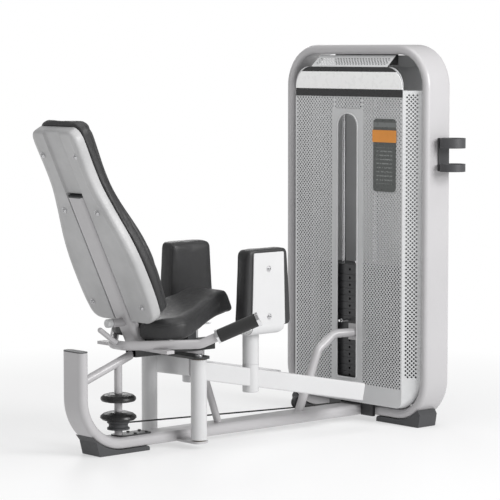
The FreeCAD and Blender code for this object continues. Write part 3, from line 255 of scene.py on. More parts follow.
def placard_material(name):
    """Dark board with a block of broken pale lines under a faint heading bar."""
    left, right, bottom, top = 0.162, 0.252, 0.955, 1.098    # block of lines
    head_bottom, head_top = 1.178, 1.196
    lines_per_metre, line_share = 62.0, 0.30
    m = Mat(name)
    axes = m.axes()
    x, z = axes["X"], axes["Z"]
    lines = m.below(m.calc("FRACT", m.times(z, lines_per_metre), 0), line_share)
    inside = m.times(m.times(m.above(x, left), m.below(x, right)),
                     m.times(m.below(z, top), m.above(z, bottom)))
    ragged = m.above(m.noise(scale=210, detail=0), 0.44)
    print_strength = m.times(m.times(lines, inside), m.times(ragged, 0.42))
    tone = m.mix(print_strength, (0.055, 0.062, 0.058), (0.42, 0.44, 0.43))
    heading = m.times(m.above(z, head_bottom), m.below(z, head_top))
    tone = m.mix(m.times(heading, 0.25), tone, (0.4, 0.42, 0.42))
    gloss = m.vary(m.noise(scale=40), 0.22, 0.36)
    normal = m.bump(m.noise(scale=900, detail=2), strength=0.04, distance=0.0003)
    return m.set(color=tone, roughness=gloss, normal=normal, coat=0.35)


MATERIALS = {
    "frame": paint("mat_frame_silver", (0.44, 0.432, 0.44)),
    "arm": paint("mat_arm_silver", (0.56, 0.56, 0.565), roughness=0.36),
    "cover": paint("mat_cover_grey", (0.60, 0.605, 0.61), roughness=0.40, coat=0.1, wear=0.05),
    "trim": paint("mat_trim_grey", (0.54, 0.545, 0.55), roughness=0.38),
    "shell": plastic("mat_shell_grey", (0.40, 0.40, 0.403), roughness=0.40, grain=0.08),
    "dark": plastic("mat_dark_plastic", (0.050, 0.051, 0.054)),
    "black": paint("mat_black_steel", (0.016, 0.016, 0.017), roughness=0.38, coat=0.35),
    "stack": paint("mat_stack_black", (0.024, 0.024, 0.026), roughness=0.45, wear=0.35),
    "vinyl": vinyl("mat_black_vinyl", (0.020, 0.020, 0.021)),
    "thread": plastic("mat_thread", (0.035, 0.035, 0.036), roughness=0.7, grain=0.5, scale=2600),
    "rubber": foam("mat_black_rubber", (0.016, 0.016, 0.016)),
    "gloss": plastic("mat_gloss_rubber", (0.014, 0.014, 0.014), roughness=0.30, grain=0.05),
    "chrome": metal("mat_chrome", (0.80, 0.80, 0.81), roughness=0.12),
    "zinc": metal("mat_zinc", (0.62, 0.62, 0.63), roughness=0.28),
    "bronze": metal("mat_bronze", (0.50, 0.36, 0.18), roughness=0.30, brushed=True),
    "label": label_material("mat_label"),
    "placard": placard_material("mat_placard"),
    "orange": plastic("mat_orange", (0.72, 0.27, 0.035), roughness=0.32, grain=0.04),
    "rows": plastic("mat_pale_rows", (0.50, 0.51, 0.50), roughness=0.4, grain=0.04),
}

# CAD nodes that wear each material
CAD_LOOKS = {
    "frame": "tower_frame base_tube seat_strut pulley_post seat_column pivot_outriggers "
             "spine_tube handle_frame brace_tube",
    "dark": "tower_feet rear_foot base_end_cap seat_board spine_cap top_pulley base_pulley "
            "guide_pulley cable_drum bottle_holder",
    "gloss": "post_disc drum_cover",
    "black": "seat_frame cross_plate rod_foot_blocks head_bracket base_pulley_bracket "
             "post_base_plate",
    "zinc": "pivot_shafts right_pad_bolts left_pad_bolts backrest_bolts pulley_axles",
    "arm": "right_arm left_arm right_pad_bracket left_pad_bracket",
    "bronze": "right_arm_bushings left_arm_bushings",
    "vinyl": "right_pad_cushion left_pad_cushion seat_cushion backrest_cushion",
    "shell": "backrest_shell",
    "rubber": "hand_grips stack_bumpers cable",
    "chrome": "grip_collars selector_rod selector_pin guide_rods",
    "trim": "start_pin slot_rim",
    "stack": "fixed_plates lifted_plates top_plate",
    "cover": "front_cover rear_cover",
    "label": "label_panel",
    "placard": "placard",
}
for look, names in CAD_LOOKS.items():
    for name in names.split():
        node_materials = nodes[name].data.materials
        node_materials.clear()
        node_materials.append(MATERIALS[look])


# ---------------------------------------------------------------- number helpers
def clamp01(value):
    return min(1.0, max(0.0, value))


def bell(value, centre, width):
    return math.exp(-((value - centre) / width) ** 2)


def quarter_arc(t):
    """Height of a unit quarter circle: 1 at t = 0, 0 at t = 1."""
    return math.sqrt(max(0.0, 1 - t ** 2))


def end_round(distance, radius):
    """0 at an end, rising on a quarter circle to 1 one radius in from it."""
    return quarter_arc(1 - min(1.0, distance / radius))


def smooth_curve(rows):
    """Smooth values through (t, a, b, ...) rows; returns a function of t giving [a, b, ...]."""
    def value_at(t):
        i = 0
        while i < len(rows) - 2 and t > rows[i + 1][0]:
            i += 1
        p1, p2 = rows[i], rows[i + 1]
        p0 = rows[i - 1] if i > 0 else p1
        p3 = rows[i + 2] if i + 2 < len(rows) else p2
        step = p2[0] - p1[0]
        u = min(1.0, max(0.0, (t - p1[0]) / step))
        out = []
        for k in range(1, len(p1)):
            m1 = (p2[k] - p0[k]) / max(1e-9, p2[0] - p0[0]) * step
            m2 = (p3[k] - p1[k]) / max(1e-9, p3[0] - p1[0]) * step
            out.append((2 * u**3 - 3 * u**2 + 1) * p1[k] + (u**3 - 2 * u**2 + u) * m1
                       + (-2 * u**3 + 3 * u**2) * p2[k] + (u**3 - u**2) * m2)
        return out
    return value_at


def corner(u, v, radius, start, steps):
    """Quarter circle round (u, v), counter-clockwise from the start angle in degrees."""
    angles = [math.radians(start + 90 * k / steps) for k in range(steps + 1)]
    return [(u + radius * math.cos(a), v + radius * math.sin(a)) for a in angles]


def rounded_outline(x0, x1, z0, z1, top_radius, bottom_radius, top_steps, bottom_steps):
    """Rounded rectangle as (x, z), counter-clockwise from the right end of its top right corner."""
    rt, rb = top_radius, bottom_radius
    return (corner(x1 - rt, z1 - rt, rt, 0, top_steps)
            + corner(x0 + rt, z1 - rt, rt, 90, top_steps)
            + corner(x0 + rb, z0 + rb, rb, 180, bottom_steps)
            + corner(x1 - rb, z0 + rb, rb, 270, bottom_steps))


# ---------------------------------------------------------------- mesh helpers
def new_object(name, mesh, look, body, smooth=True):
    obj = bpy.data.objects.new(name, mesh)
    scene.collection.objects.link(obj)
    mesh.materials.clear()
    mesh.materials.append(MATERIALS[look])
    if smooth:
        shade_smooth(mesh)
    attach(obj, body)
    pieces.append(obj)
    return obj


def shade_smooth(mesh):
    for polygon in mesh.polygons:
        polygon.use_smooth = True


def mesh_from(name, verts, faces):
    mesh = bpy.data.meshes.new(name)
    mesh.from_pydata([tuple(v) for v in verts], [], faces)
    mesh.update()
    return mesh


def solid_mesh(name, verts, faces):
    """Closed mesh with its normals turned outwards."""
    mesh = mesh_from(name, verts, faces)
    bm = bmesh.new()
    bm.from_mesh(mesh)
    bmesh.ops.recalc_face_normals(bm, faces=bm.faces)
    bm.to_mesh(mesh)
    bm.free()
    return mesh


def superellipse(count, exponent):
    out = []
    for k in range(count):
        angle = 2 * math.pi * k / count
        c, s = math.cos(angle), math.sin(angle)
        out.append((math.copysign(abs(c) ** (2 / exponent), c),
                    math.copysign(abs(s) ** (2 / exponent), s)))
    return out


def loft(name, sections, exponent, count=56):
    """Solid through superellipses of (centre, half-width vector, half-thickness vector)."""
    verts, faces = [], []
    for centre, width, thickness in sections:
        for p, q in superellipse(count, exponent):
            verts.append(centre + width * p + thickness * q)
    last = len(sections) - 1
    for i in range(last):
        for k in range(count):
            k2 = (k + 1) % count
            faces.append((i * count + k, i * count + k2,
                          (i + 1) * count + k2, (i + 1) * count + k))
    faces.append(tuple(reversed(range(count))))
    faces.append(tuple(last * count + k for k in range(count)))
    return solid_mesh(name, verts, faces)


def apply_modifiers(obj):
    bpy.context.view_layer.update()
    depsgraph = bpy.context.evaluated_depsgraph_get()
    mesh = bpy.data.meshes.new_from_object(obj.evaluated_get(depsgraph), depsgraph=depsgraph)
    obj.modifiers.clear()
    obj.data = mesh


def relax(obj, iterations):
    smooth = obj.modifiers.new("soft", "SMOOTH")
    smooth.iterations = iterations
    smooth.factor = 0.5
    apply_modifiers(obj)


def inflate(obj, is_held, frames=16):
    """Cloth pressure from inside; points where is_held(position) is true stay put."""
    group = obj.vertex_groups.new(name="held")
    for v in obj.data.vertices:
        if is_held(v.co):
            group.add([v.index], 1.0, "REPLACE")
    cloth = obj.modifiers.new("cloth", "CLOTH")
    settings = cloth.settings
    settings.quality = 4
    settings.mass = 0.4
    settings.use_pressure = True
    settings.uniform_pressure_force = 4.5
    settings.tension_stiffness = 18
    settings.compression_stiffness = 18
    settings.shear_stiffness = 8
    settings.bending_stiffness = 2.0
    settings.effector_weights.gravity = 0
    cloth.collision_settings.use_collision = False
    cloth.collision_settings.use_self_collision = False
    settings.vertex_group_mass = "held"
    cloth.point_cache.frame_start, cloth.point_cache.frame_end = 1, frames
    for frame in range(1, frames + 1):
        scene.frame_set(frame)
    apply_modifiers(obj)


def soften(obj, voxel, travel, is_held, smooth):
    """Even mesh, then padded fabric by cloth pressure, with each point's travel capped."""
    remesh = obj.modifiers.new("even", "REMESH")
    remesh.mode = "VOXEL"
    remesh.voxel_size = voxel
    apply_modifiers(obj)
    relax(obj, 2)
    rest = [v.co.copy() for v in obj.data.vertices]
    inflate(obj, is_held)
    for v, start in zip(obj.data.vertices, rest):
        move = v.co - start
        if move.length > travel:
            v.co = start + move * (travel / move.length)
    scene.frame_set(1)
    relax(obj, smooth)
    shade_smooth(obj.data)


def add_subdivision(obj):
    sub = obj.modifiers.new("sub", "SUBSURF")
    sub.levels = sub.render_levels = 1


def tube_along(name, path, radius, look, body, cyclic=False):
    curve = bpy.data.curves.new(name, "CURVE")
    curve.dimensions = "3D"
    curve.bevel_depth = radius
    curve.bevel_resolution = 3
    spline = curve.splines.new("POLY")
    spline.points.add(len(path) - 1)
    for point, place in zip(spline.points, path):
        point.co = (*place, 1)
    spline.use_cyclic_u = cyclic
    temp = bpy.data.objects.new(name + "_tmp", curve)
    scene.collection.objects.link(temp)
    bpy.context.view_layer.update()
    depsgraph = bpy.context.evaluated_depsgraph_get()
    mesh = bpy.data.meshes.new_from_object(temp.evaluated_get(depsgraph))
    bpy.data.objects.remove(temp)
    mesh.name = name
    return new_object(name, mesh, look, body)


# ---------------------------------------------------------------- seams
def snap_to(obj, path, proud=0.0):
    """Moves a path onto an object's surface, standing proud of it."""
    evaluated = obj.evaluated_get(bpy.context.evaluated_depsgraph_get())
    out = []
    for p in path:
        _, place, normal, _ = evaluated.closest_point_on_mesh(p)
        out.append(place + normal * proud)
    return out


def press_seam(obj, path, depth, width, step=0.002):
    """Pulls the skin in along a seam path."""
    points = []
    for a, b in zip(path, path[1:]):
        n = max(1, int((b - a).length / step))
        for k in range(n):
            points.append(a.lerp(b, k / n))
    tree = KDTree(len(points))
    for i, p in enumerate(points):
        tree.insert(p, i)
    tree.balance()
    normals = [v.normal.copy() for v in obj.data.vertices]
    for v, normal in zip(obj.data.vertices, normals):
        distance = tree.find(v.co)[2]
        if distance < width * 2.5:
            v.co -= normal * depth * bell(distance, 0, width)
    obj.data.update()


def add_seam(obj, name, body, path, depth, width, proud, radius):
    """Presses a groove along the path and lays a thread in it; returns the thread's path."""
    press_seam(obj, snap_to(obj, path), depth, width)
    thread = snap_to(obj, path, proud)
    tube_along(name, thread, radius, "thread", body)
    return thread


def mirrored(path):
    return [Vector((-p.x, p.y, p.z)) for p in path]


# ---------------------------------------------------------------- back rest
LEAN = math.radians(25.2)
UP = Vector((0, -math.sin(LEAN), math.cos(LEAN)))
FORWARD = Vector((0, math.cos(LEAN), math.sin(LEAN)))
BACK_BASE = Vector((0, -1.154, 0.418))
BACK_BOTTOM, BACK_TOP = 0.064, 0.850      # shell ends, along UP
OUTLINE_TOP = 0.846                       # highest station used for cushion and seam

# height along UP, half width
back_outline = smooth_curve([
    (BACK_BOTTOM, 0.118), (0.070, 0.150), (0.090, 0.181), (0.125, 0.193), (0.180, 0.199),
    (0.250, 0.200), (0.330, 0.196), (0.415, 0.182), (0.520, 0.153), (0.615, 0.131),
    (0.700, 0.127), (0.790, 0.130), (0.822, 0.127), (0.842, 0.114), (BACK_TOP, 0.098)])


def on_back(x, forward, up):
    return BACK_BASE + Vector((x, 0, 0)) + FORWARD * forward + UP * up


def back_half_width(up):
    return back_outline(min(max(up, BACK_BOTTOM), OUTLINE_TOP))[0]


def shell_ring(z):
    """Points round the shell at height z: the rear face from -x to +x, then the flat front."""
    side_steps, middle_steps = 30, 12
    lip_x, channel_x = 0.0476, 0.0452        # top and foot of the central channel's walls
    rear, front = 0.0064, 0.0458
    edge_width, edge_depth = 0.016, 0.015    # rounding of the long edges
    end_radius, end_depth = 0.016, 0.014     # rounding of the two ends
    shallow_from = 0.592                     # the channel is shallow above this height
    channel_depth = 0.0085 if z > shallow_from else 0.030
    rim_height, rim_inset, rim_width = 0.0018, 0.024, 0.004
    rim_fade = 0.02                          # left clear at each end, then faded over as much

    half_width = back_outline(z)[0]
    roll = end_depth * (1 - end_round(min(z - BACK_BOTTOM, BACK_TOP - z), end_radius))
    rim = (rim_height * clamp01((z - BACK_BOTTOM - rim_fade) / rim_fade)
           * clamp01((BACK_TOP - rim_fade - z) / rim_fade))
    side = [half_width + (lip_x - half_width) * i / side_steps for i in range(side_steps + 1)]
    middle = [-channel_x + 2 * channel_x * i / middle_steps for i in range(middle_steps + 1)]
    xs = [-x for x in side] + middle + side[::-1]
    ring = []
    for x in xs:
        edge = max(0.0, (abs(x) - (half_width - edge_width)) / edge_width)
        y = rear + edge_depth * (1 - quarter_arc(edge)) + roll
        if abs(x) < channel_x + 1e-6:
            y = max(y, rear + channel_depth)
        if abs(x) > 0.06:
            y -= rim * bell(half_width - abs(x), rim_inset, rim_width)
        ring.append(on_back(x, y, z))
    return ring + [on_back(x * 0.992, front, z) for x in reversed(xs)]


def build_shell():
    steps = 170
    verts, faces = [], []
    for j in range(steps + 1):
        ring = shell_ring(BACK_BOTTOM + (BACK_TOP - BACK_BOTTOM) * (j / steps))
        verts += ring
    n = len(ring)
    for j in range(steps):
        for k in range(n):
            k2 = (k + 1) % n
            faces.append((j * n + k, (j + 1) * n + k, (j + 1) * n + k2, j * n + k2))
    faces.append(tuple(range(n)))
    faces.append(tuple(steps * n + k for k in reversed(range(n))))
    mesh = solid_mesh("backrest_shell_body", verts, faces)
    shell = new_object("backrest_shell_body", mesh, "shell", "frame")
    shell.modifiers.new("wn", "WEIGHTED_NORMAL")
    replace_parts(shell, "backrest_shell")


def back_cushion_sections():
    bottom, top, steps = 0.069, 0.861, 60
    rear, thickness = 0.0475, 0.053
    sections = []
    for j in range(steps + 1):
        t = j / steps
        z = bottom + (top - bottom) * t
        width = back_half_width(z - 0.006) - 0.003
        # widths and thickness draw in towards both ends
        k = end_round(min(t, 1 - t) * (top - bottom), 0.022)
        width = width * (0.90 + 0.10 * k) if t > 0.5 else width * (0.93 + 0.07 * k)
        half = (thickness * (0.74 + 0.26 * k)) / 2
        # lumbar roll low down, slimmer above it
        half += 0.0045 * bell(z, 0.30, 0.13)
        half -= 0.003 * bell(z, 0.56, 0.09)
        sections.append((on_back(0, rear + half, z), Vector((width, 0, 0)), FORWARD * half))
    return sections


def back_seam_path():
    """Both long edges of the cushion, joined across the top and the bottom."""
    forward, inset, low, high, steps = 0.084, 0.004, 0.092, 0.836, 90
    right = []
    for j in range(steps + 1):
        z = low + (high - low) * j / steps
        right.append(on_back(back_half_width(z) - inset, forward, z))
    # x, height along UP
    top = [(0.095, 0.856), (0.03, 0.860), (-0.03, 0.860), (-0.095, 0.856)]
    bottom = [(-0.12, 0.070), (-0.04, 0.066), (0.04, 0.066), (0.12, 0.070)]
    path = (right + [on_back(x, forward, z) for x, z in top] + mirrored(reversed(right))
            + [on_back(x, forward, z) for x, z in bottom])
    return path + [path[0].copy()]


def build_back_cushion():
    held_below, flat_rear = 0.054, 0.0465    # along FORWARD
    mesh = loft("backrest_cushion_body", back_cushion_sections(), exponent=9.0)
    cushion = new_object("backrest_cushion_body", mesh, "vinyl", "frame")
    soften(cushion, voxel=0.0065, travel=0.007, smooth=2,
           is_held=lambda p: (p - BACK_BASE).dot(FORWARD) < held_below)
    for v in cushion.data.vertices:
        forward = (v.co - BACK_BASE).dot(FORWARD)
        if forward < flat_rear:
            v.co += FORWARD * (flat_rear - forward)
    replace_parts(cushion, "backrest_cushion")
    add_seam(cushion, "backrest_seam", "frame", back_seam_path(),
             depth=0.0022, width=0.005, proud=0.0004, radius=0.0011)
    add_subdivision(cushion)


build_shell()
build_back_cushion()


# ---------------------------------------------------------------- seat
SEAT_REAR, SEAT_FRONT = -1.146, -0.706

# y, half width, top z, thickness
seat_profile = smooth_curve([
    (SEAT_REAR, 0.102, 0.480, 0.056), (-1.128, 0.142, 0.484, 0.060),
    (-1.095, 0.178, 0.489, 0.066), (-1.050, 0.197, 0.493, 0.070),
    (-1.000, 0.184, 0.500, 0.070), (-0.930, 0.152, 0.522, 0.076),
    (-0.860, 0.127, 0.550, 0.082), (-0.800, 0.110, 0.570, 0.086),
    (-0.760, 0.101, 0.577, 0.084), (SEAT_FRONT, 0.090, 0.580, 0.082)])


def seat_sections():
    rear, front, steps = -1.149, -0.712, 58
    sections = []
    for j in range(steps + 1):
        t = j / steps
        y = rear + (front - rear) * t
        width, top, thickness = seat_profile(y)
        k = end_round(min(t, 1 - t) * (front - rear), 0.014)
        width *= 0.95 + 0.05 * k if t > 0.5 else 0.92 + 0.08 * k
        half = thickness / 2 * (0.84 + 0.16 * k)
        # the front face leans: its top edge stands further back than its bottom one
        lean = Vector((0, -0.036 * clamp01((y + 0.84) / 0.12), 0))
        sections.append((Vector((0, y, top - 0.002 - thickness / 2)) + lean * 0.5,
                         Vector((width - 0.003, 0, 0)),
                         Vector((0, 0, half)) + lean * 0.5))
    return sections


def shape_saddle(seat):
    """Raises side bolsters round a shallow dish, and cuts a relief for the spine tube."""
    relief_y, relief_half_width, relief_squeeze = -1.108, 0.052, 0.04
    for v in seat.data.vertices:
        width, top, thickness = seat_profile(min(max(v.co.y, SEAT_REAR), SEAT_FRONT))
        if v.co.z > top - thickness * 0.55:
            across = abs(v.co.x) / width
            rear_zone = clamp01((-0.86 - v.co.y) / 0.12) * clamp01((v.co.y + 1.20) / 0.05)
            bolster = 0.010 * bell(across, 0.78, 0.16)
            dish = 0.007 * bell(across, 0, 0.5)
            v.co.z += rear_zone * (bolster - dish)
        if v.co.y < relief_y and abs(v.co.x) < relief_half_width:
            v.co.y = relief_y + (v.co.y - relief_y) * relief_squeeze


def seat_seam_path():
    """Both sides just under the top edge, joined across the front and round the spine."""
    rear, front, steps, drop = -1.130, -0.748, 80, 0.010
    right = []
    for i in range(steps + 1):
        y = rear + (front - rear) * i / steps
        width, top, _ = seat_profile(y)
        right.append(Vector((width, y, top - drop)))
    nose = [(0.055, -0.738, 0.570), (0.0, -0.736, 0.570), (-0.055, -0.738, 0.570)]
    tail = [(-0.075, -1.148, 0.470), (-0.05, -1.110, 0.474),
            (0.05, -1.110, 0.474), (0.075, -1.148, 0.470)]
    path = (right + [Vector(p) for p in nose] + mirrored(reversed(right))
            + [Vector(p) for p in tail])
    return path + [path[0].copy()]


def build_seat():
    mesh = loft("seat_cushion_body", seat_sections(), exponent=9.0)
    seat = new_object("seat_cushion_body", mesh, "vinyl", "frame")
    # the held group stays empty: the whole seat is free to swell
    soften(seat, voxel=0.0058, travel=0.0035, smooth=3, is_held=lambda p: False)
    shape_saddle(seat)
    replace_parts(seat, "seat_cushion")
    add_seam(seat, "seat_seam", "frame", seat_seam_path(),
             depth=0.0020, width=0.005, proud=0.0005, radius=0.0012)
    add_subdivision(seat)


build_seat()


# ---------------------------------------------------------------- thigh pads
PAD_BOTTOM, PAD_TOP = 0.449, 0.739
PAD_INNER, PAD_OUTER = 0.1835, 0.2605    # x of the right pad's faces


def pad_edges(t):
    """Rear and front y of a pad at the share t of its height."""
    return -0.806 + 0.015 * t, -0.573 - 0.021 * t


def pad_sections():
    steps = 34
    sections = []
    for j in range(steps + 1):
        t = j / steps
        rear, front = pad_edges(t)
        k = end_round(min(t, 1 - t) * (PAD_TOP - PAD_BOTTOM), 0.022)
        half_width = (front - rear) / 2 * (0.88 + 0.12 * k)
        # the outer face lies flat on its plate, so all thinning is on the inner one
        half = (PAD_OUTER - PAD_INNER) / 2 * (0.90 + 0.10 * k)
        centre = Vector((PAD_OUTER - half, (rear + front) / 2,
                         PAD_BOTTOM + (PAD_TOP - PAD_BOTTOM) * t))
        sections.append((centre, Vector((0, half_width, 0)), Vector((half, 0, 0))))
    return sections


def pad_seam_path():
    """Loop round the pad near its inner face: up the front edge and down the rear one."""
    x, radius, steps, corner_steps = 0.197, 0.028, 23, 8
    low, high = PAD_BOTTOM + radius, PAD_TOP - radius

    def edges_at(z):
        return pad_edges((z - PAD_BOTTOM) / (PAD_TOP - PAD_BOTTOM))

    heights = [low + (high - low) * i / steps for i in range(steps + 1)]
    rear_top, front_top = edges_at(PAD_TOP)
    rear_bottom, front_bottom = edges_at(PAD_BOTTOM)
    points = [(edges_at(z)[1], z) for z in heights]
    points += corner(front_top - radius, high, radius, 0, corner_steps)
    points += corner(rear_top + radius, high, radius, 90, corner_steps)
    points += [(edges_at(z)[0], z) for z in reversed(heights)]
    points += corner(rear_bottom + radius, low, radius, 180, corner_steps)
    points += corner(front_bottom - radius, low, radius, 270, corner_steps)
    return [Vector((x, y, z)) for y, z in points + points[:1]]


def build_pads():
    """The right pad is made; the left one mirrors it."""
    thread_radius = 0.0011
    mesh = loft("right_pad_cushion_body", pad_sections(), exponent=8.0)
    right = new_object("right_pad_cushion_body", mesh, "vinyl", "right_thigh_pad")
    soften(right, voxel=0.0052, travel=0.0022, smooth=6, is_held=lambda p: p.x > 0.2565)
    for v in right.data.vertices:
        v.co.x = min(v.co.x, 0.2611)
    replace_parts(right, "right_pad_cushion")
    thread = add_seam(right, "right_pad_seam", "right_thigh_pad", pad_seam_path(),
                      depth=0.0018, width=0.0045, proud=0.0004, radius=thread_radius)
    add_subdivision(right)

    mesh = right.data.copy()
    mesh.name = "left_pad_cushion_body"
    for v in mesh.vertices:
        v.co.x = -v.co.x
    mesh.flip_normals()
    left = new_object("left_pad_cushion_body", mesh, "vinyl", "left_thigh_pad")
    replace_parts(left, "left_pad_cushion")
    add_subdivision(left)
    tube_along("left_pad_seam", mirrored(thread), thread_radius, "thread", "left_thigh_pad")


build_pads()


# ---------------------------------------------------------------- tower covers
HOLE_PITCH = 0.008       # half the diagonal of the diamond round each hole
HOLE_RADIUS = 0.0042
HOLE_SIDES = 8


def clip(polygon, low, high, axis):
    """Clips a 2-D polygon to low <= axis value <= high."""
    for sign, limit in ((1, high), (-1, -low)):
        out = []
        for i, p in enumerate(polygon):
            q = polygon[(i + 1) % len(polygon)]
            a, b = sign * p[axis] - limit, sign * q[axis] - limit
            if a <= 1e-9:
                out.append(p)
            if (a < -1e-9 and b > 1e-9) or (a > 1e-9 and b < -1e-9):
                t = a / (a - b)
                out.append((p[0] + (q[0] - p[0]) * t, p[1] + (q[1] - p[1]) * t))
        polygon = out
        if len(polygon) < 3:
            return []
    return polygon


class Sheet:
    """Gathers faces; place(u, v) maps a panel's own coordinates to a point."""

    def __init__(self):
        self.verts, self.faces = [], []

    def face(self, points):
        start = len(self.verts)
        self.verts.extend(points)
        self.faces.append(tuple(range(start, len(self.verts))))

    def rectangle(self, place, u0, u1, v0, v1):
        self.face([place(u0, v0), place(u1, v0), place(u1, v1), place(u0, v1)])

    def holed_diamond(self, place, u, v, diamond):
        start = len(self.verts)
        self.verts.extend(place(a, b) for a, b in diamond)
        for s in range(HOLE_SIDES):
            angle = 2 * math.pi * s / HOLE_SIDES
            # pulled a little towards the corners of the diamond
            radius = HOLE_RADIUS * (1.14 if s % 2 == 0 else 0.90)
            self.verts.append(place(u + radius * math.cos(angle), v + radius * math.sin(angle)))
        quarter = HOLE_SIDES // 4
        for c in range(4):
            rim = [start + 4 + (c * quarter + t) % HOLE_SIDES for t in range(quarter, -1, -1)]
            self.faces.append(tuple([start + c, start + (c + 1) % 4] + rim))

    def perforated(self, place, u0, u1, v0, v1):
        """Rectangle of staggered holes; diamonds cut by its border are left solid."""
        pitch = HOLE_PITCH
        for i in range(math.floor(u0 / pitch) - 1, math.ceil(u1 / pitch) + 2):
            for j in range(math.floor(v0 / pitch) - 1, math.ceil(v1 / pitch) + 2):
                if (i + j) % 2:
                    continue
                u, v = i * pitch, j * pitch
                diamond = [(u + pitch, v), (u, v + pitch), (u - pitch, v), (u, v - pitch)]
                if all(u0 - 1e-9 <= a <= u1 + 1e-9 and v0 - 1e-9 <= b <= v1 + 1e-9
                       for a, b in diamond):
                    self.holed_diamond(place, u, v, diamond)
                    continue
                rest = clip(clip(diamond, u0, u1, axis=0), v0, v1, axis=1)
                if rest:
                    self.face([place(a, b) for a, b in rest])


def cover_object(name, sheet, facing):
    mesh = mesh_from(name, sheet.verts, sheet.faces)
    bm = bmesh.new()
    bm.from_mesh(mesh)
    bmesh.ops.remove_doubles(bm, verts=bm.verts, dist=0.00012)
    outwards = Vector((0, facing, 0))
    for f in bm.faces:
        f.normal_update()
        if f.normal.dot(outwards) < 0:
            f.normal_flip()
    slivers = [f for f in bm.faces if f.calc_area() < 1e-10]
    bmesh.ops.delete(bm, geom=slivers, context="FACES")
    bm.to_mesh(mesh)
    bm.free()
    cover = new_object(name, mesh, "cover", "frame", smooth=False)
    solidify = cover.modifiers.new("sheet", "SOLIDIFY")
    solidify.thickness = 0.0018
    solidify.offset = -1
    return cover


def build_cover(name, facing, face_y, slotted):
    """Flat face in a bevelled surround whose upper corners stay open.

    facing is -1 towards the user, +1 away. A slotted cover is perforated, with a slot up the
    middle; the other is plain.
    """
    face_x, face_bottom, face_top = 0.307, 0.072, 1.413        # flat face
    edge_x, edge_bottom, edge_top = 0.364, 0.0635, 1.4585      # outer edge of the bevel
    edge_radius, face_bottom_radius = 0.124, 0.030
    edge_y = face_y - facing * 0.050
    panel_x, panel_bottom, panel_top = 0.304, 0.140, 1.296     # main panel of the flat face
    slot_x, slot_top = 0.080, 1.240
    steps = 14
    sheet = Sheet()
    fill = sheet.perforated if slotted else sheet.rectangle

    def flat(u, v):
        return Vector((u, face_y, v))

    def bevel_y(t):
        return face_y + (edge_y - face_y) * t

    def add_side(side):
        """Straight bevel on one side: a panel with solid borders."""
        bottom, top = edge_bottom + edge_radius, 1.322
        inner, outer, low, high = 0.006, 0.004, 0.004, 0.010   # border widths
        run = edge_x - face_x
        width = math.hypot(run, edge_y - face_y)

        def slope(u, v):
            t = u / width
            return Vector((side * (face_x + run * t), bevel_y(t), v))

        fill(slope, inner, width - outer, bottom + low, top - high)
        for border in ((0, inner, bottom, top),
                       (width - outer, width, bottom, top),
                       (inner, width - outer, bottom, bottom + low),
                       (inner, width - outer, top - high, top)):
            sheet.rectangle(slope, *border)
        # joins the straight run to the round lower corner
        sheet.face([Vector((side * face_x, face_y, face_bottom + face_bottom_radius)),
                    Vector((side * face_x, face_y, bottom)),
                    Vector((side * edge_x, edge_y, bottom)),
                    Vector((side * edge_x, edge_y, bottom))])

    def add_top():
        """Straight bevel along the top: a panel with solid borders."""
        end_x, end_border, inner, outer = 0.216, 0.008, 0.005, 0.004
        rise = edge_top - face_top
        width = math.hypot(rise, edge_y - face_y)
        x = end_x - end_border

        def slope(u, v):
            t = v / width
            return Vector((u, bevel_y(t), face_top + rise * t))

        fill(slope, -x, x, inner, width - outer)
        for border in ((-x, x, 0, inner), (-x, x, width - outer, width),
                       (-end_x, -x, 0, width), (x, end_x, 0, width)):
            sheet.rectangle(slope, *border)

    if slotted:
        sheet.perforated(flat, slot_x, panel_x, panel_bottom, panel_top)
        sheet.perforated(flat, -panel_x, -slot_x, panel_bottom, panel_top)
        sheet.perforated(flat, -slot_x, slot_x, slot_top, panel_top)
    else:
        sheet.face([flat(panel_x, panel_bottom), flat(panel_x, panel_top),
                    flat(-panel_x, panel_top), flat(-panel_x, panel_bottom)])
    inner = rounded_outline(-face_x, face_x, face_bottom, face_top,
                            0.075, face_bottom_radius, steps, steps)
    outer = rounded_outline(-edge_x, edge_x, edge_bottom, edge_top,
                            edge_radius, edge_radius, steps, steps)
    above = [p for p in inner if p[1] > panel_top]
    below = [p for p in inner if p[1] < panel_bottom]
    sheet.face([flat(*p) for p in above + [(-face_x, panel_top), (face_x, panel_top)]])
    sheet.face([flat(*p) for p in [(face_x, panel_bottom), (-face_x, panel_bottom)] + below])
    sheet.rectangle(flat, panel_x, face_x, panel_bottom, panel_top)
    sheet.rectangle(flat, -face_x, -panel_x, panel_bottom, panel_top)

    add_top()
    add_side(-1)
    # solid bevel round the lower corners and along the bottom: the outline's second half
    for i in range(2 * (steps + 1), 4 * (steps + 1) - 1):
        a, b, c, d = inner[i], inner[i + 1], outer[i + 1], outer[i]
        sheet.face([Vector((a[0], face_y, a[1])), Vector((b[0], face_y, b[1])),
                    Vector((c[0], edge_y, c[1])), Vector((d[0], edge_y, d[1]))])
    add_side(1)
    return cover_object(name, sheet, facing)


def build_slot_lip():
    """Rolled lip round the slot of the front cover."""
    half_width, y = 0.0575, -0.0385
    outline = rounded_outline(-half_width, half_width, 0.1665, 1.2285, top_radius=0.054,
                              bottom_radius=0.012, top_steps=12, bottom_steps=6)
    path = [Vector((x, y, z)) for x, z in outline]
    tube_along("slot_lip", path, 0.0038, "trim", "frame", cyclic=True)


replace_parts(build_cover("front_cover_sheet", facing=-1, face_y=-0.035, slotted=True),
            "front_cover")
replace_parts(build_cover("rear_cover_sheet", facing=1, face_y=0.169, slotted=False),
            "rear_cover")
build_slot_lip()


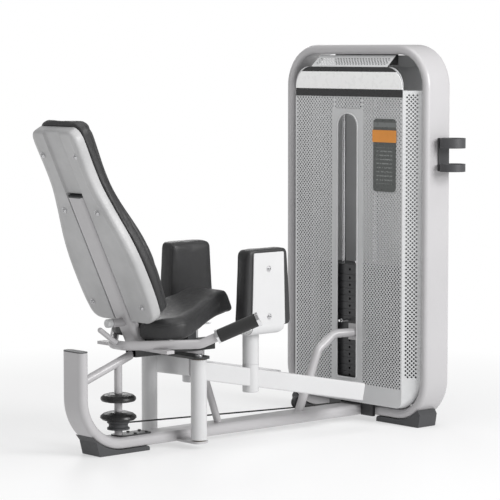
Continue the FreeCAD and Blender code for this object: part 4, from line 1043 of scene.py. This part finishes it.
# ---------------------------------------------------------------- placard band
def build_placard_band():
    """Thin orange plate across the front of the placard, a little wider than it."""
    overhang, radius, thickness = 0.004, 0.004, 0.0016
    low, high = (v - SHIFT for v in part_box("placard"))
    y = low.y - 0.0002
    outline = rounded_outline(low.x - overhang, high.x + overhang, 1.118, 1.166,
                              radius, radius, 6, 6)
    n = len(outline)
    verts = [Vector((x, y, z)) for x, z in outline]
    verts += [Vector((x, y - thickness, z)) for x, z in outline]
    faces = [tuple(range(n)), tuple(reversed(range(n, 2 * n)))]
    faces += [(i, i + n, (i + 1) % n + n, (i + 1) % n) for i in range(n)]
    mesh = solid_mesh("placard_band", verts, faces)
    band = new_object("placard_band", mesh, "orange", "frame", smooth=False)
    bevel = band.modifiers.new("edge", "BEVEL")
    bevel.width = thickness * 0.4
    bevel.segments = 2


build_placard_band()

for piece in pieces:
    piece.data.transform(Matrix.Translation(SHIFT))


# ---------------------------------------------------------------- floor, light, camera
def floor_material():
    """Pale floor that fades to plain white with distance from its centre."""
    m = Mat("mat_floor")
    position = m.node("ShaderNodeNewGeometry").outputs["Position"]
    distance = m.node("ShaderNodeVectorMath", operation="DISTANCE")
    feed(distance.inputs[0], position)
    distance.inputs[1].default_value = (0, 0.5, 0)
    far = m.remap(distance.outputs["Value"], span=(0.9, 2.8), to=(0.5, 1))
    m.set(color=(0.86, 0.86, 0.865), roughness=0.42, specular=0.25)
    glow = m.node("ShaderNodeEmission")
    feed(glow.inputs["Color"], (1, 1, 1))
    glow.inputs["Strength"].default_value = 1.0
    fade = m.node("ShaderNodeMixShader")
    for index, source in enumerate((far, m.shader.outputs[0], glow.outputs[0])):
        feed(fade.inputs[index], source)
    output = next(n for n in m.tree.nodes if n.type == "OUTPUT_MATERIAL")
    feed(output.inputs["Surface"], fade.outputs[0])
    return m.material


def build_floor():
    bpy.ops.mesh.primitive_plane_add(size=60, location=(0, 0.5, -0.0006))
    floor = bpy.context.object
    floor.name = "floor"
    floor.data.materials.append(floor_material())


def build_world():
    """White studio: dim as a light, full white to the camera."""
    world = bpy.data.worlds.new("studio")
    scene.world = world
    world.use_nodes = True
    tree = world.node_tree
    light = tree.nodes["Background"]
    backdrop = tree.nodes.new("ShaderNodeBackground")
    for background, strength in ((light, 0.36), (backdrop, 1.0)):
        feed(background.inputs["Color"], (1, 1, 1))
        background.inputs["Strength"].default_value = strength
    rays = tree.nodes.new("ShaderNodeLightPath")
    mix = tree.nodes.new("ShaderNodeMixShader")
    feed(mix.inputs[0], rays.outputs["Is Camera Ray"])
    feed(mix.inputs[1], light.outputs[0])
    feed(mix.inputs[2], backdrop.outputs[0])
    feed(tree.nodes["World Output"].inputs["Surface"], mix.outputs[0])


def area_light(name, place, target, width, height, power):
    light = bpy.data.lights.new(name, "AREA")
    light.energy = power
    light.shape = "RECTANGLE"
    light.size = width
    light.size_y = height
    obj = bpy.data.objects.new(name, light)
    scene.collection.objects.link(obj)
    obj.location = Vector(place) + SHIFT
    aim = Vector(target) - Vector(place)
    obj.rotation_euler = aim.to_track_quat("-Z", "Y").to_euler()


def build_camera():
    pitch_down, turn = 4.97, 48.58    # degrees
    data = bpy.data.cameras.new("camera")
    camera = bpy.data.objects.new("camera", data)
    scene.collection.objects.link(camera)
    camera.location = Vector((6.6220, -6.3989, 1.4787)) + SHIFT
    camera.rotation_euler = (math.radians(90 - pitch_down), 0, math.radians(turn))
    data.sensor_width = 36
    data.lens = 165.46
    data.clip_start, data.clip_end = 0.1, 100
    scene.camera = camera


build_floor()
build_world()
# name, place, target, width, height, power
for entry in (("key_right", (4.6, 0.4, 2.6), (0, -0.7, 0.6), 2.6, 2.2, 215),
              ("top_soft", (0.6, -0.9, 4.2), (0, -0.7, 0.4), 3.2, 3.2, 62),
              ("fill_front", (-1.6, -5.0, 1.8), (0, -0.5, 0.7), 2.5, 2.5, 14),
              ("rim_left", (-3.6, 1.6, 2.4), (0, -0.6, 0.8), 1.8, 1.8, 30)):
    area_light(*entry)
build_camera()
scene.view_settings.view_transform = "Standard"
